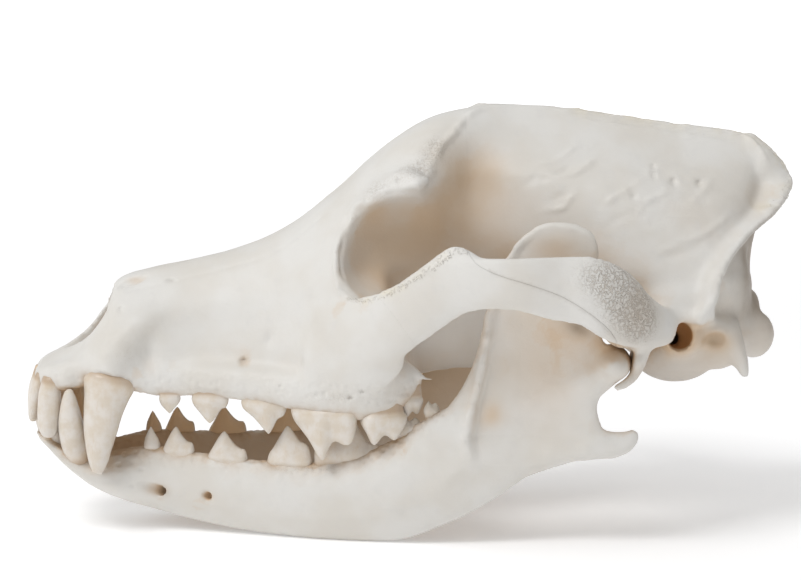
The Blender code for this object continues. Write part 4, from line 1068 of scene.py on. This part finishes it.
toothForms = {
    # pegs: share of the height, share of the width; curl to the rear
    "incisor": {"peg": ((0, 0.78), (0.3, 1), (0.6, 0.98), (0.85, 0.8), (0.97, 0.46)), "curl": 0.08,
        "flat": 0.6},
    "corner": {"peg": ((0, 0.8), (0.3, 0.98), (0.6, 1), (0.84, 0.86), (0.97, 0.5)), "curl": 0.1,
        "flat": 0.75},
    "canine": {"peg": ((0, 1.22), (0.15, 1.08), (0.35, 0.91), (0.55, 0.79), (0.72, 0.62), (0.88, 0.42),
        (0.97, 0.22)), "curl": 0.29, "flat": 1},
    "lowCanine": {"peg": ((0, 0.84), (0.25, 1), (0.5, 0.92), (0.75, 0.68), (0.92, 0.38), (0.98, 0.2)),
        "curl": 0.34, "flat": 1},
    # blades: share along the crown from front to rear, share of the height
    "upperFirst": {"blade": ((-0.5, 0.2), (-0.42, 0.5), (-0.2, 0.84), (-0.06, 0.99), (0.04, 0.99),
        (0.22, 0.74), (0.44, 0.4), (0.5, 0.16))},
    "upperSmall": {"blade": ((-0.5, 0.16), (-0.42, 0.42), (-0.22, 0.74), (-0.05, 0.98), (0.03, 0.98),
        (0.14, 0.8), (0.28, 0.5), (0.42, 0.42), (0.5, 0.14))},
    "upperThird": {"blade": ((-0.5, 0.14), (-0.42, 0.36), (-0.18, 0.64), (0.05, 0.98), (0.12, 0.98),
        (0.2, 0.78), (0.28, 0.58), (0.42, 0.46), (0.5, 0.14))},
    "upperBlade": {"blade": ((-0.5, 0.1), (-0.44, 0.3), (-0.22, 0.64), (-0.06, 0.97), (0.02, 0.97),
        (0.12, 0.68), (0.2, 0.64), (0.32, 0.7), (0.44, 0.62), (0.5, 0.24))},
    "lowerFirst": {"blade": ((-0.5, 0.16), (-0.4, 0.56), (-0.12, 0.96), (0, 0.98), (0.18, 0.76),
        (0.42, 0.46), (0.5, 0.16))},
    "lowerSmall": {"blade": ((-0.5, 0.14), (-0.42, 0.36), (-0.26, 0.72), (-0.11, 0.97), (-0.03, 0.97),
        (0.08, 0.76), (0.18, 0.6), (0.3, 0.48), (0.43, 0.44), (0.5, 0.14))},
    "lowerFourth": {"blade": ((-0.5, 0.12), (-0.43, 0.34), (-0.24, 0.68), (-0.07, 0.97), (0.02, 0.97),
        (0.13, 0.8), (0.24, 0.64), (0.34, 0.6), (0.44, 0.48), (0.5, 0.14))},
    "lowerBlade": {"blade": ((-0.5, 0.22), (-0.4, 0.58), (-0.24, 0.7), (-0.14, 0.64), (0, 1), (0.12, 0.68),
        (0.24, 0.42), (0.4, 0.38), (0.5, 0.14))},
    # grinders: cusps as shares of the crown: along, across, height, radius
    "upperGrinder": {"cusps": ((-0.24, -0.3, 0.62, 0.2), (0.22, -0.3, 0.5, 0.2), (-0.1, 0.12, 0.3, 0.18),
        (0.2, 0.14, 0.24, 0.15), (0, 0.38, 0.2, 0.2)), "floor": 0.42},
    "lowerGrinder": {"cusps": ((-0.22, -0.22, 0.4, 0.2), (-0.22, 0.22, 0.4, 0.18), (0.24, 0, 0.3, 0.2)),
        "floor": 0.58},
    "variation": 0.02,
    "sunk": 0.9,
}


def pegTooth(name, form, length, width, height, root):
    rows = np.array([(-root / height, 0.62), *form["peg"]])
    turn = circle(32)
    rings = []
    for level, size in finer(rows, 44):
        back = length * form["curl"] * level**2
        flat = np.interp(level, (0, 1), (1.0, form["flat"]))
        x = back + np.cos(turn) * length * size / 2 * flat
        y = np.sin(turn) * width * size / 2
        rings.append(np.stack([x, y, np.full(32, level * height)], 1))
    return skin(name, rings)


def bladeTooth(name, form, length, width, height, root):
    turn = circle(36)
    level = (1 - np.cos(turn)) / 2
    side = np.sign(np.round(np.sin(turn), 6))
    edge = np.where(level < 0.5, np.sqrt(held(1 - np.cos(turn) ** 4)), 1.0)
    rings = []
    for share, tall in finer(form["blade"], 54):
        top = max(tall, 0.06) * height
        z = -root + level * (top + root)
        plan = (1.0 - min(1.0, abs(2.04 * share)) ** 3.0) ** 0.34 * 0.85 + 0.15
        body = np.interp(z / height, (-root / height, 0.02, 0.24, 1.0), (0.66, 0.78, 1.0, 0.80))
        cap = held((top - z) / (top * 0.85)) ** 0.62
        y = side * edge * cap * body * plan * width / 2
        rings.append(np.stack([np.full(36, share * length), y, z], 1))
    return skin(name, rings)


def grinderTooth(name, form, length, width, height, root):
    turn = circle(40)
    plan = (np.abs(np.cos(turn)) ** 3.2 + np.abs(np.sin(turn)) ** 3.2) ** (-1 / 3.2)
    taper = 1.0 - 0.16 * np.sin(turn)   # narrower towards the tongue
    rings = []
    for rise in np.linspace(0.05, 1.0, 18):
        out = math.sin(rise * math.pi / 2) ** 0.8 * plan / 2
        along, across = out * np.cos(turn) * taper, out * np.sin(turn)
        top = np.full(40, form["floor"])
        for cx, cy, tall, far in form["cusps"]:
            top += tall * np.exp(-(((along - cx) ** 2 + (across - cy) ** 2) / far**2))
        drop = 0.24 + 0.76 * math.cos(rise * math.pi / 2) ** 0.4
        rings.append(np.stack([along * length, across * width, top * drop * height], 1))
    for share, z in ((0.97, 0.08 * height), (0.86, -0.04 * height), (0.80, -root)):
        rings.append(np.stack([np.cos(turn) * plan * taper * length * share / 2,
                               np.sin(turn) * plan * width * share / 2, np.full(40, z)], 1))
    return skin(name, rings)


def crown(name, form, *sizes):
    if "peg" in form:
        return pegTooth(name, form, *sizes)
    if "blade" in form:
        return bladeTooth(name, form, *sizes)
    return grinderTooth(name, form, *sizes)


def toothRow(name, table, side, upper):
    made = []
    sense = 1 if upper else -1
    flip = Matrix.Scale(-1, 4, (0, 0, 1)) if upper else Matrix.Identity(4)
    for kind, (form, length, width, height, x, y, z, turn, nose, outward, root) in table.items():
        z, height = z + sense * toothForms["sunk"], height + toothForms["sunk"]
        vary = 1 + toothForms["variation"] * dice.uniform(-1, 1, 3)
        size = (length * vary[0], width * vary[1], height * vary[2])
        ob = melted(f"{name}.{kind}", [crown(kind, toothForms[form], *size, root)], grainSizes["tooth"], 6)
        co = getPoints(ob)
        waist = np.exp(-((co[:, 2] - 0.6) / 0.8) ** 2) * (-0.08 if "peg" in toothForms[form] else -0.28)
        waist += clouds(co * (1.0, 1.0, 0.25), 1.3, 31) * 0.04 + clouds(co, 3.4, 32) * 0.12
        setPoints(ob, co + getNormals(ob) * waist[:, None])
        mark = ob.data.attributes.new("level", "FLOAT", "POINT")
        mark.data.foreach_set("value", co[:, 2] / size[2])
        lean = turned(sense * nose, "Y") @ turned(-sense * outward, "X")
        place = Matrix.Translation(Vector((x, y, z)) * mm) @ turned(-turn, "Z") @ lean @ flip
        if side > 0:
            place = Matrix.Scale(-1, 4, (0, 1, 0)) @ place
        ob.data.transform(place)
        if place.determinant() < 0:
            ob.data.flip_normals()
        # painted shade: the inner sides of the teeth turn warm brown
        painted(ob, "inner", getNormals(ob)[:, 1] * -side * 1.4 - 0.2)
        made.append(ob)
    row = linked(name, meshed(gathered(ob.data for ob in made), bpy.data.meshes.new(name)))
    for ob in made:
        bpy.data.objects.remove(ob)
    return row


# scrolls of thin bone inside the nose

noseScrolls = {
    "count": 2, "turns": 1.3, "thickness": 0.55, "from": -92, "to": -80.5, "height": 60, "radius": 3.7
}


def scrolls():
    forms = []
    for side, number in itertools.product((-1, 1), range(noseScrolls["count"])):
        centre = (side * (4.5 - 0.5 * number), noseScrolls["height"] + 7.4 * number)
        radius = noseScrolls["radius"] * (1.0 - 0.12 * number)
        rings = []
        for x in np.linspace(noseScrolls["from"] + 2.0 * number, noseScrolls["to"], 14):
            out = []
            for sense in (1, -1):
                for t in np.linspace(0, 1, 26)[::sense]:
                    angle = (2 * math.pi * noseScrolls["turns"] * t + 2.0 * number) * side
                    r = radius * (1 - 0.62 * t) + sense * noseScrolls["thickness"] / 2
                    out.append((x, centre[0] + r * math.cos(angle), centre[1] + r * math.sin(angle)))
            rings.append(out)
        forms.append(skin("scroll", rings))
    wall = [(x, x, 55.0, 74.0 - 0.5 * abs(x + 84), 0.4, 0.4, 0.4, 0.4) for x in (-91, -84, -79)]
    return melted("noseScrolls", forms + [stack("septum", wall, 12)], grainSizes["scroll"])


# attributes that the materials read

skySamples = {   # lengths in millimetres: way of a ray, its start and the sample's place before the surface
    "triangles": 60000, "points": 11000, "rays": 24, "reach": 90, "start": 0.6, "ahead": 2
}


def skyShare(pieces):
    # how much of the sky each place sees, from sample points spread over all pieces
    coarse = placed("shade", gathered(ob.data for ob in pieces))
    applied(coarse, "DECIMATE", ratio=min(1.0, skySamples["triangles"] / len(coarse.data.polygons)))
    tree = surfaceTree(coarse)
    co, normals = getPoints(coarse), getNormals(coarse)
    pick = dice.permutation(len(co))[:skySamples["points"]]
    rays = dice.normal(size=(skySamples["rays"], 3))
    rays /= np.linalg.norm(rays, axis=1)[:, None]
    find = KDTree(len(pick))
    openShare = np.zeros(len(pick))
    for spot, k in enumerate(pick):
        start = Vector(co[k] + normals[k] * skySamples["start"]) * mm
        seen = 0
        for ray in rays:
            way = ray if ray @ normals[k] > 0 else -ray
            if tree.ray_cast(start, Vector(way), skySamples["reach"] * mm)[0] is None:
                seen += 1
        openShare[spot] = seen / len(rays)
        if seen:   # the roots inside the bone don't count
            find.insert(Vector(co[k] + normals[k] * skySamples["ahead"]), spot)
    find.balance()
    bpy.data.objects.remove(coarse)
    return find, openShare


def painted(ob, name, values):
    mark = ob.data.attributes.get(name) or ob.data.attributes.new(name, "FLOAT", "POINT")
    mark.data.foreach_set("value", held(values).astype(float))


stainAndShadePlaces = (   # centre, reach, strength: tan and brown tints of the left side, partly real stains and partly painted shade in hollows and shaded faces
    ((-2, -26, 89), (22, 16, 17), 0.52),
    ((14, -24, 86), (16, 16, 12), 0.34),
    ((32, -24, 84), (12, 14, 12), 0.36),
    ((20, -20, 109), (20, 16, 23), 0.62),
    ((20, -22, 97), (15, 14, 15), 0.3),
    ((44, -40, 90), (13, 8, 8), 0.55),
    ((14, -14, 57), (24, 12, 17), 0.1),
    ((83.2, -28, 62.2), (7.6, 14, 7.4), 2.3),
    ((94.4, -31, 60.2), (6.2, 7, 4.8), 0.95),
    ((90, -33, 66), (6, 6, 4), 0.35),
    ((112, -10, 80), (12, 20, 20), 0.72),
    ((111, -11, 58), (10, 10, 12), 0.52),
    ((84, -20, 51), (18, 16, 11), 0.5),
    ((98, -24, 58), (12, 12, 12), 0.5),
    ((64, -52, 73), (15, 12, 14), 0.4),
    ((66, -44, 55), (11, 12, 10), 0.48),
    ((37, -46, 56), (24, 12, 34), 0.62),
    ((90, -26, 100), (20, 14, 18), 0.24),
    ((24.8, -44, 40.4), (5, 6, 6), 0.9),
    ((21, -44, 36), (4, 5, 10), 0.3),
    ((-2, -31, 44), (9, 9, 6), 0.45),
    ((-78, -19, 52), (5, 6, 5), 0.3),
    ((-84.4, -16, 22), (9, 6, 6), 0.12),
    ((-76.4, -17, 13.2), (5.4, 4.5, 3), 0.7),
    ((-60.6, -20.5, 11.8), (3.4, 4, 2.6), 0.6),
    ((-83, -5.4, 77), (5.4, 2.4, 2.2), 0.75),
    ((-98, -13, 40), (8, 8, 12), 0.3),
)
shadePlaces = (   # centre, reach, strength: painted dark grey-brown shade
    ((51.5, -46, 67.8), (6, 8, 3.8), 1.2),
    ((94, -30, 60.5), (4, 6, 4), 0.5),
    ((67, -46, 55), (5, 6, 8), 0.25),
    ((19, -20, 112), (11, 12, 15), 0.26),
    ((6, -20, 88), (20, 14, 10), 0.16),
    ((-86, -15, 21), (9, 6, 7), 0.3),
    ((-73.6, -15, 12.4), (2.6, 4, 2), 0.7),
    ((-86, -21, 57), (6, 6, 8), 0.14),
    ((66, -52, 76), (16, 10, 13), 0.26),
    ((84, -20, 48), (17, 14, 9), 0.4),
)
poredPlaces = (   # centre, reach, strength
    ((62, -56, 78), (14, 8, 13), 0.8),
    ((55, -58, 85), (14, 7, 8), 0.5),
    ((68, -52, 72), (11, 10, 11), 0.8),
    ((3, -25, 112), (10, 9, 10), 0.52),
    ((10, -19, 121), (8, 8, 9), 0.52),
    ((-9, -23, 106.5), (10, 8, 7), 0.42),
    ((-20, -38, 46), (24, 6, 4), 0.34),
    ((-60, -22, 46), (24, 6, 3), 0.3),
    ((-30, -28, 22), (50, 9, 3.5), 0.36),
    ((-86, -22, 56), (8, 6, 9), 0.3),
    ((88, -26, 104), (18, 14, 14), 0.22),
)
crestLines = (   # points, half width: the crests and the rim of the eye socket, finer and yellower
    (((56, 0, 129), (77.8, 0, 125.8), (93.5, 0, 123.8), (106.1, 0, 121.6), (113, 0, 118)), 3.2),
    (((113, 0, 118), (119, -2, 112), (121.5, -4, 106), (118.5, -8, 101), (112, -14.5, 98)), 3.4),
    (((-16.5, -42.4, 76), (-8.9, -46, 78.2), (-3.1, -49, 81.4), (3.2, -51, 85.6), (12.7, -54, 92.8)), 1.8),
)


def crownTree(rows):
    # the crowns without their roots
    corners, faces = [], []
    for ob in rows:
        level = np.empty(len(ob.data.vertices))
        ob.data.attributes["level"].data.foreach_get("value", level)
        start = len(corners)
        corners += [vertex.co.copy() for vertex in ob.data.vertices]
        faces += [[start + k for k in face.vertices] for face in ob.data.polygons
                  if level[face.vertices[0]] > 0.03]
    return BVHTree.FromPolygons(corners, faces)


def shutShare(co, normals, find, openShare):
    # how far each point lies in a recess, from the sample points about it
    shut = np.empty(len(co))
    for k, (p, n) in enumerate(zip(co, normals)):
        total = weight = 0.0
        for _, spot, far in find.find_n(Vector(p + n * skySamples["ahead"]), 3):
            w = 1 / (far + 0.4)
            total += w * openShare[spot]
            weight += w
        shut[k] = 1 - total / weight
    return shut


gumFade = {"top": 60, "rear": 16, "reach": 4, "fade": 1.1}   # upper and rear limit, reach, fade


def gumShare(co, teethTree):
    # 1 at the teeth, fading over about a millimetre
    gum = np.zeros(len(co))
    for k in np.nonzero((co[:, 2] < gumFade["top"]) & (co[:, 0] < gumFade["rear"]))[0]:
        hit = teethTree.find_nearest(Vector(co[k]) * mm, gumFade["reach"] * mm)
        if hit[0] is not None:
            gum[k] = math.exp(-hit[3] / mm / gumFade["fade"])
    return gum


def paintBone(ob, find, openShare, teethTree):
    co, normals = getPoints(ob), getNormals(ob)
    points = folded(co)
    x, y, z = co.T
    # painted shade: the inner sides of the jaw and the downward faces of the palate are browner
    inward = -np.sign(y) * normals[:, 1]
    mouth = np.interp(x, (-6, 8, 26, 36), (0.38, 0.85, 0.85, 0))
    mouth *= held((50 - z) / 6) * held(inward * 1.5 - 0.3)
    palate = (np.abs(y) < 27) * held((-4 - x) / 6) * held((z - 42) / 4)
    stain = spots(points, stainAndShadePlaces) + mouth + held(-normals[:, 2] * 1.5 - 0.4) * palate * 0.35
    # only the deepest stains and painted shade pass the tan and turn amber
    least = boneLook["amberRange"][0]
    painted(ob, "stain", np.where(stain > least, np.maximum(least, stain - 0.35), stain))
    # painted shade in the recesses, from how little sky each place sees; weaker on the throat plate and
    # inside the mouth
    fair = 1 - 0.8 * held(near(points, (16, -13, 63), (26, 8, 13)) * 2)
    recess = held((shutShare(co, normals, find, openShare) - 0.18) / 0.7)
    painted(ob, "recess", recess * fair * (1 - 0.9 * np.minimum(mouth, 0.5)))
    # painted shade: darker on the listed shaded places and on the rear faces of the back of the head, turned
    # away from the light; the temple suture line is a dark joint
    rear = held(near(points, (110, -15, 80), (20, 24, 26)) * 1.4)
    seam = [(px, 0.0, pz) for px, pz in seams["temple"][0][:-1]]
    onSeam = np.exp(-((lineDistance(points * (1, 0, 1), seam) / 0.4) ** 2))
    onSeam *= (points[:, 1] < -46) & (points[:, 0] > 22)
    painted(ob, "grime", spots(points, shadePlaces) + held(normals[:, 0] * 1.6 - 0.1) * rear + onSeam * 0.24)
    painted(ob, "pores", spots(points, poredPlaces) * 1.3)
    crests = [np.exp(-((lineDistance(points, line) / half) ** 2)) for line, half in crestLines]
    painted(ob, "crest", np.max(crests, 0))
    painted(ob, "gum", gumShare(co, teethTree))


# materials

class Wire:
    # an output socket with Python's arithmetic
    def __init__(self, tree, socket=None):
        self.tree = tree
        self.socket = socket

    def node(self, kind, settings=None, inputs=None, stops=None, out=0):
        made = self.tree.nodes.new(kind if "Node" in kind else "ShaderNode" + kind)
        for name, value in (settings or {}).items():
            setattr(made, name, value)
        if stops:
            ramp = made.color_ramp
            while len(ramp.elements) < len(stops):
                ramp.elements.new(0.5)
            for element, (place, colour) in zip(ramp.elements, stops):
                element.position = place
                element.color = colour
        for key, value in (inputs or {}).items():
            if isinstance(value, Wire):
                self.tree.links.new(value.socket, made.inputs[key])
            else:
                made.inputs[key].default_value = value
        return Wire(self.tree, made.outputs[out])

    def maths(self, operation, *values):
        return self.node("Math", {"operation": operation}, dict(enumerate(values)))

    def __add__(self, other):
        return self.maths("ADD", self, other)

    __radd__ = __add__

    def __sub__(self, other):
        return self.maths("SUBTRACT", self, other)

    def __rsub__(self, other):
        return self.maths("SUBTRACT", other, self)

    def __mul__(self, other):
        return self.maths("MULTIPLY", self, other)

    __rmul__ = __mul__

    def __pow__(self, other):
        return self.maths("POWER", self, other)

    def __rpow__(self, other):
        return self.maths("POWER", other, self)

    def ramped(self, low, high, to=(0.0, 1.0)):
        return self.node("MapRange", {"interpolation_type": "SMOOTHSTEP"},
                         {"Value": self, 1: low, 2: high, 3: to[0], 4: to[1]})

    def mixed(self, share, one, other):
        return self.node("Mix", {"data_type": "RGBA"}, {0: share, 6: one, 7: other}, out=2)

    def tinted(self, colour, share):
        return self.mixed(share, self, colour)

    def joined(self, socket):
        self.tree.links.new(self.socket, socket)

    def bumped(self, height, distance):
        return self.node("Bump", None, {"Strength": 1.0, "Distance": distance, "Height": height})

    def millimetres(self):
        # Object coordinates in millimetres
        place = self.node("TexCoord", out=3)
        return self.node("VectorMath", {"operation": "SCALE"}, {0: place, "Scale": 1000.0})

    def fact(self, name):
        return self.node("Attribute", {"attribute_name": name}, out=2)

    def clouded(self, place, scale, detail=3.0, rough=0.55, seed=0.0):
        return self.node("TexNoise", {"noise_dimensions": "4D"},
                         {"Vector": place, "W": seed, "Scale": scale, "Detail": detail, "Roughness": rough})


def newMaterial(name, roughness, specular=0.35):
    material = bpy.data.materials.new(name)
    material.use_nodes = True
    sockets = material.node_tree.nodes["Principled BSDF"].inputs
    sockets["Roughness"].default_value = roughness
    sockets["Specular IOR Level"].default_value = specular
    return material, sockets, Wire(material.node_tree)


# tan and amber tint the stains and the painted shade, umber the painted shade
boneLook = {
    "ivory": (0.65, 0.622, 0.574, 1), "chalk": (0.69, 0.676, 0.646, 1), "grey": (0.61, 0.6, 0.582, 1),
    "tan": (0.6, 0.45, 0.305, 1), "amber": (0.33, 0.14, 0.035, 1), "straw": (0.72, 0.64, 0.45, 1),
    "gumBrown": (0.42, 0.27, 0.14, 1), "umber": (0.25, 0.2, 0.15, 1), "pore": (0.43, 0.36, 0.29, 1),
    "roughness": 0.52, "bump": 0.00022, "wormScale": 0.95, "amberRange": (0.78, 0.98)   # of the stain and painted shade
}


def boneMaterial(name, seed):
    look = boneLook
    material, sockets, wire = newMaterial(name, look["roughness"])
    place = wire.millimetres()
    broad = wire.clouded(place, 0.05, 3.0, 0.5, seed)
    patch = wire.clouded(place, 0.22, 4.0, 0.6, seed + 3)
    speck = wire.clouded(place, 1.1, 3.0, 0.6, seed + 6)
    recess, stain = wire.fact("recess"), wire.fact("stain")
    colour = wire.mixed(broad.ramped(0.35, 0.65), look["ivory"], look["chalk"])
    colour = colour.tinted(look["grey"], patch.ramped(0.52, 0.72) * 0.25)
    # painted shade: recesses and the shaded stain places turn tan, as do the real stains
    browned = (recess ** 1.2) * 0.85 + stain * (0.80 + patch * 0.2)
    colour = colour.tinted(look["tan"], browned.ramped(0.02, 1.0))
    colour = colour.tinted(look["amber"], stain.ramped(*look["amberRange"]) * 0.85)
    # painted shade in dark umber, and the suture line
    colour = colour.tinted(look["umber"], wire.fact("grime") * (0.55 + patch * 0.5))
    colour = colour.tinted(look["straw"], wire.fact("crest") * patch.ramped(0.35, 0.65) * 0.42)
    colour = colour.tinted(look["gumBrown"], wire.fact("gum") * patch.ramped(0.25, 0.70) * 0.70)
    worms = wire.maths("ABSOLUTE", wire.clouded(place, look["wormScale"], 1.5, 0.5, seed + 9) - 0.5)
    fineCells = wire.node("TexVoronoi", {"feature": "F1"}, {"Vector": place, "Scale": 1.5, "Randomness": 1.0})
    pored = wire.fact("pores")
    pits = (1.0 - worms.ramped(0.015, 0.070)) * pored.ramped(0.20, 0.90)
    tiny = (1.0 - fineCells.ramped(0.10, 0.36)) * pored.ramped(0.05, 0.6)
    # painted shade in the pits and pores; their relief is the bump below
    colour = colour.tinted(look["pore"], pits * 0.52 + tiny * 0.34)
    colour.joined(sockets["Base Color"])
    height = patch * 0.30 + speck * 0.28 - pits * 0.90 - tiny * 0.34
    wire.bumped(height, look["bump"]).joined(sockets["Normal"])
    (look["roughness"] - 0.10 + speck * 0.16 + pits * 0.1).joined(sockets["Roughness"])
    return material


# inner is the colour of the painted shade on the inner sides of the teeth
toothLook = {
    "cream": (0.64, 0.57, 0.48, 1), "pearl": (0.69, 0.645, 0.59, 1), "inner": (0.84, 0.61, 0.37, 1),
    "neck": (0.56, 0.4, 0.23, 1), "deep": (0.33, 0.19, 0.09, 1), "roughness": 0.3, "bump": 0.0001
}


def toothMaterial(name, seed):
    look = toothLook
    material, sockets, wire = newMaterial(name, look["roughness"], 0.5)
    place = wire.millimetres()
    streaked = wire.node("VectorMath", {"operation": "MULTIPLY"}, {0: place, 1: (1.0, 1.0, 0.16)})
    streak = wire.clouded(streaked, 1.1, 4.0, 0.65, seed)
    patch = wire.clouded(place, 0.30, 3.0, 0.55, seed + 2)
    level = wire.fact("level")
    colour = wire.mixed(patch.ramped(0.35, 0.65), look["cream"], look["pearl"])
    colour = colour.tinted(look["neck"], (1.0 - (level + patch * 0.16).ramped(0.02, 0.30)) * 0.34)
    colour = colour.tinted(look["deep"], (1.0 - level.ramped(-0.06, 0.05)) * 0.45)
    colour = colour.tinted(look["neck"], streak.ramped(0.56, 0.78) * 0.30)
    # painted shade on the inner sides
    colour = colour.tinted(look["inner"], wire.fact("inner") * (0.60 + patch * 0.4))
    colour.joined(sockets["Base Color"])
    wire.bumped(streak, look["bump"]).joined(sockets["Normal"])
    (look["roughness"] - 0.06 + streak * 0.16).joined(sockets["Roughness"])
    return material


# floor, light and camera

stage = {
    "floor": (0.93, 0.93, 0.935, 1),
    "glow": 0.22,
    "farGlow": 0.75,
    "glowRange": (0.3, 1.6),
    "size": 8,
    "world": 0.42,
    "worldLean": -0.2,
    "worldRise": 0.3,
    "key": (14.4, (-0.85, -0.72, 1.55), 0.7),
}


def makeStage():
    bm = bmesh.new()
    bmesh.ops.create_grid(bm, x_segments=1, y_segments=1, size=stage["size"])
    floor = placed("floor", bm)
    material, sockets, wire = newMaterial("paper", 0.9, 0.1)
    sockets["Base Color"].default_value = stage["floor"]
    far = wire.node("VectorMath", {"operation": "LENGTH"}, {0: wire.node("TexCoord", out=3)}, out=1)
    close, away = ((stage[name],) * 3 + (1.0,) for name in ("glow", "farGlow"))
    wire.mixed(far.ramped(*stage["glowRange"]), close, away).joined(sockets["Emission Color"])
    sockets["Emission Strength"].default_value = 1.0
    floor.data.materials.append(material)
    world = bpy.data.worlds.new("studio")
    bpy.context.scene.world = world
    world.use_nodes = True
    sky = world.node_tree.nodes["Background"]
    sky.inputs[0].default_value = (1, 1, 1, 1)
    wire = Wire(world.node_tree)
    way = wire.node("TexCoord", out=0)
    side, rise = (wire.node("SeparateXYZ", None, {0: way}, out=k) for k in (0, 2))
    # brighter from above and from the nose side
    (side * stage["worldLean"] + rise * stage["worldRise"] + stage["world"]).joined(sky.inputs[1])
    power, spot, size = stage["key"]
    light = bpy.data.lights.new("key", "AREA")
    light.energy = power
    light.size = size
    lamp = linked("key", light)
    lamp.location = spot
    lamp.rotation_euler = (Vector((0, 0, 0.07)) - Vector(spot)).to_track_quat("-Z", "Y").to_euler()
    bpy.context.scene.view_settings.view_transform = "Standard"


def makeCamera():
    place = cameraPlace
    back = viewBack()
    data = bpy.data.cameras.new("camera")
    data.sensor_width = 36.0
    data.lens = place["pixelsPerMm"] * place["distance"] / mm * data.sensor_width / place["width"]
    data.clip_start = 0.01
    camera = linked("camera", data)
    camera.location = Vector(place["target"]) * mm + frameShift + back * place["distance"]
    camera.rotation_euler = (-back).to_track_quat("-Z", "Y").to_euler()
    bpy.context.scene.camera = camera


makeCamera()
makeStage()
bones = partedSkull(sculptedSkull(upperSkull()))
for name in ("faceBone", "braincaseBone"):
    thinned(bones[name], mostTriangles)
grainy(bones)
bones["jawLeft"] = jawHalf()
bones["jawRight"] = mirrored(bones["jawLeft"])
teeth = {}
for jaw, table in (("upper", upperTeeth), ("lower", lowerTeeth)):
    for side, name in ((-1, jaw + "TeethLeft"), (1, jaw + "TeethRight")):
        teeth[name] = toothRow(name, table, side, jaw == "upper")
report("teeth")
inside = {"noseScrolls": scrolls()}
teethTree = crownTree(teeth.values())
find, openShare = skyShare([*bones.values(), *teeth.values()])
report("shade of the recesses")
for ob in (*bones.values(), *inside.values()):
    paintBone(ob, find, openShare, teethTree)
report("attributes")

places = {   # slot, and the CAD node that a piece stands for
    "faceBone": ("bone_face", "face"), "braincaseBone": ("bone_braincase", "braincase"),
    "cheekLeft": ("bone_cheek", "cheekbone_left"), "cheekRight": ("bone_cheek", "cheekbone_right"),
    "jawLeft": ("bone_jaw", "jaw_left"), "jawRight": ("bone_jaw", "jaw_right"),
    "upperTeethLeft": ("bone_face", None), "upperTeethRight": ("bone_face", None),
    "lowerTeethLeft": ("bone_jaw", None), "lowerTeethRight": ("bone_jaw", None),
    "noseScrolls": ("bone_face", None)
}
looks = {"bone": boneMaterial("dryBone", 0.0), "tooth": toothMaterial("enamel", 4.0)}
for name, ob in {**bones, **teeth, **inside}.items():
    ob.name = name
    ob.data.name = name
    ob.data.transform(Matrix.Translation(frameShift))
    setPoints(ob, np.clip(getPoints(ob) * mm, *cadBox) / mm)
    ob.data.shade_smooth()
    ob.data.set_sharp_from_angle(angle=math.radians(sharpAngle))
    ob.data.materials.clear()
    ob.data.materials.append(looks["tooth" if name in teeth else "bone"])
    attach(ob, "root")
    slot, node = places[name]
    if node:
        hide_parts(node)
report("pieces finished")
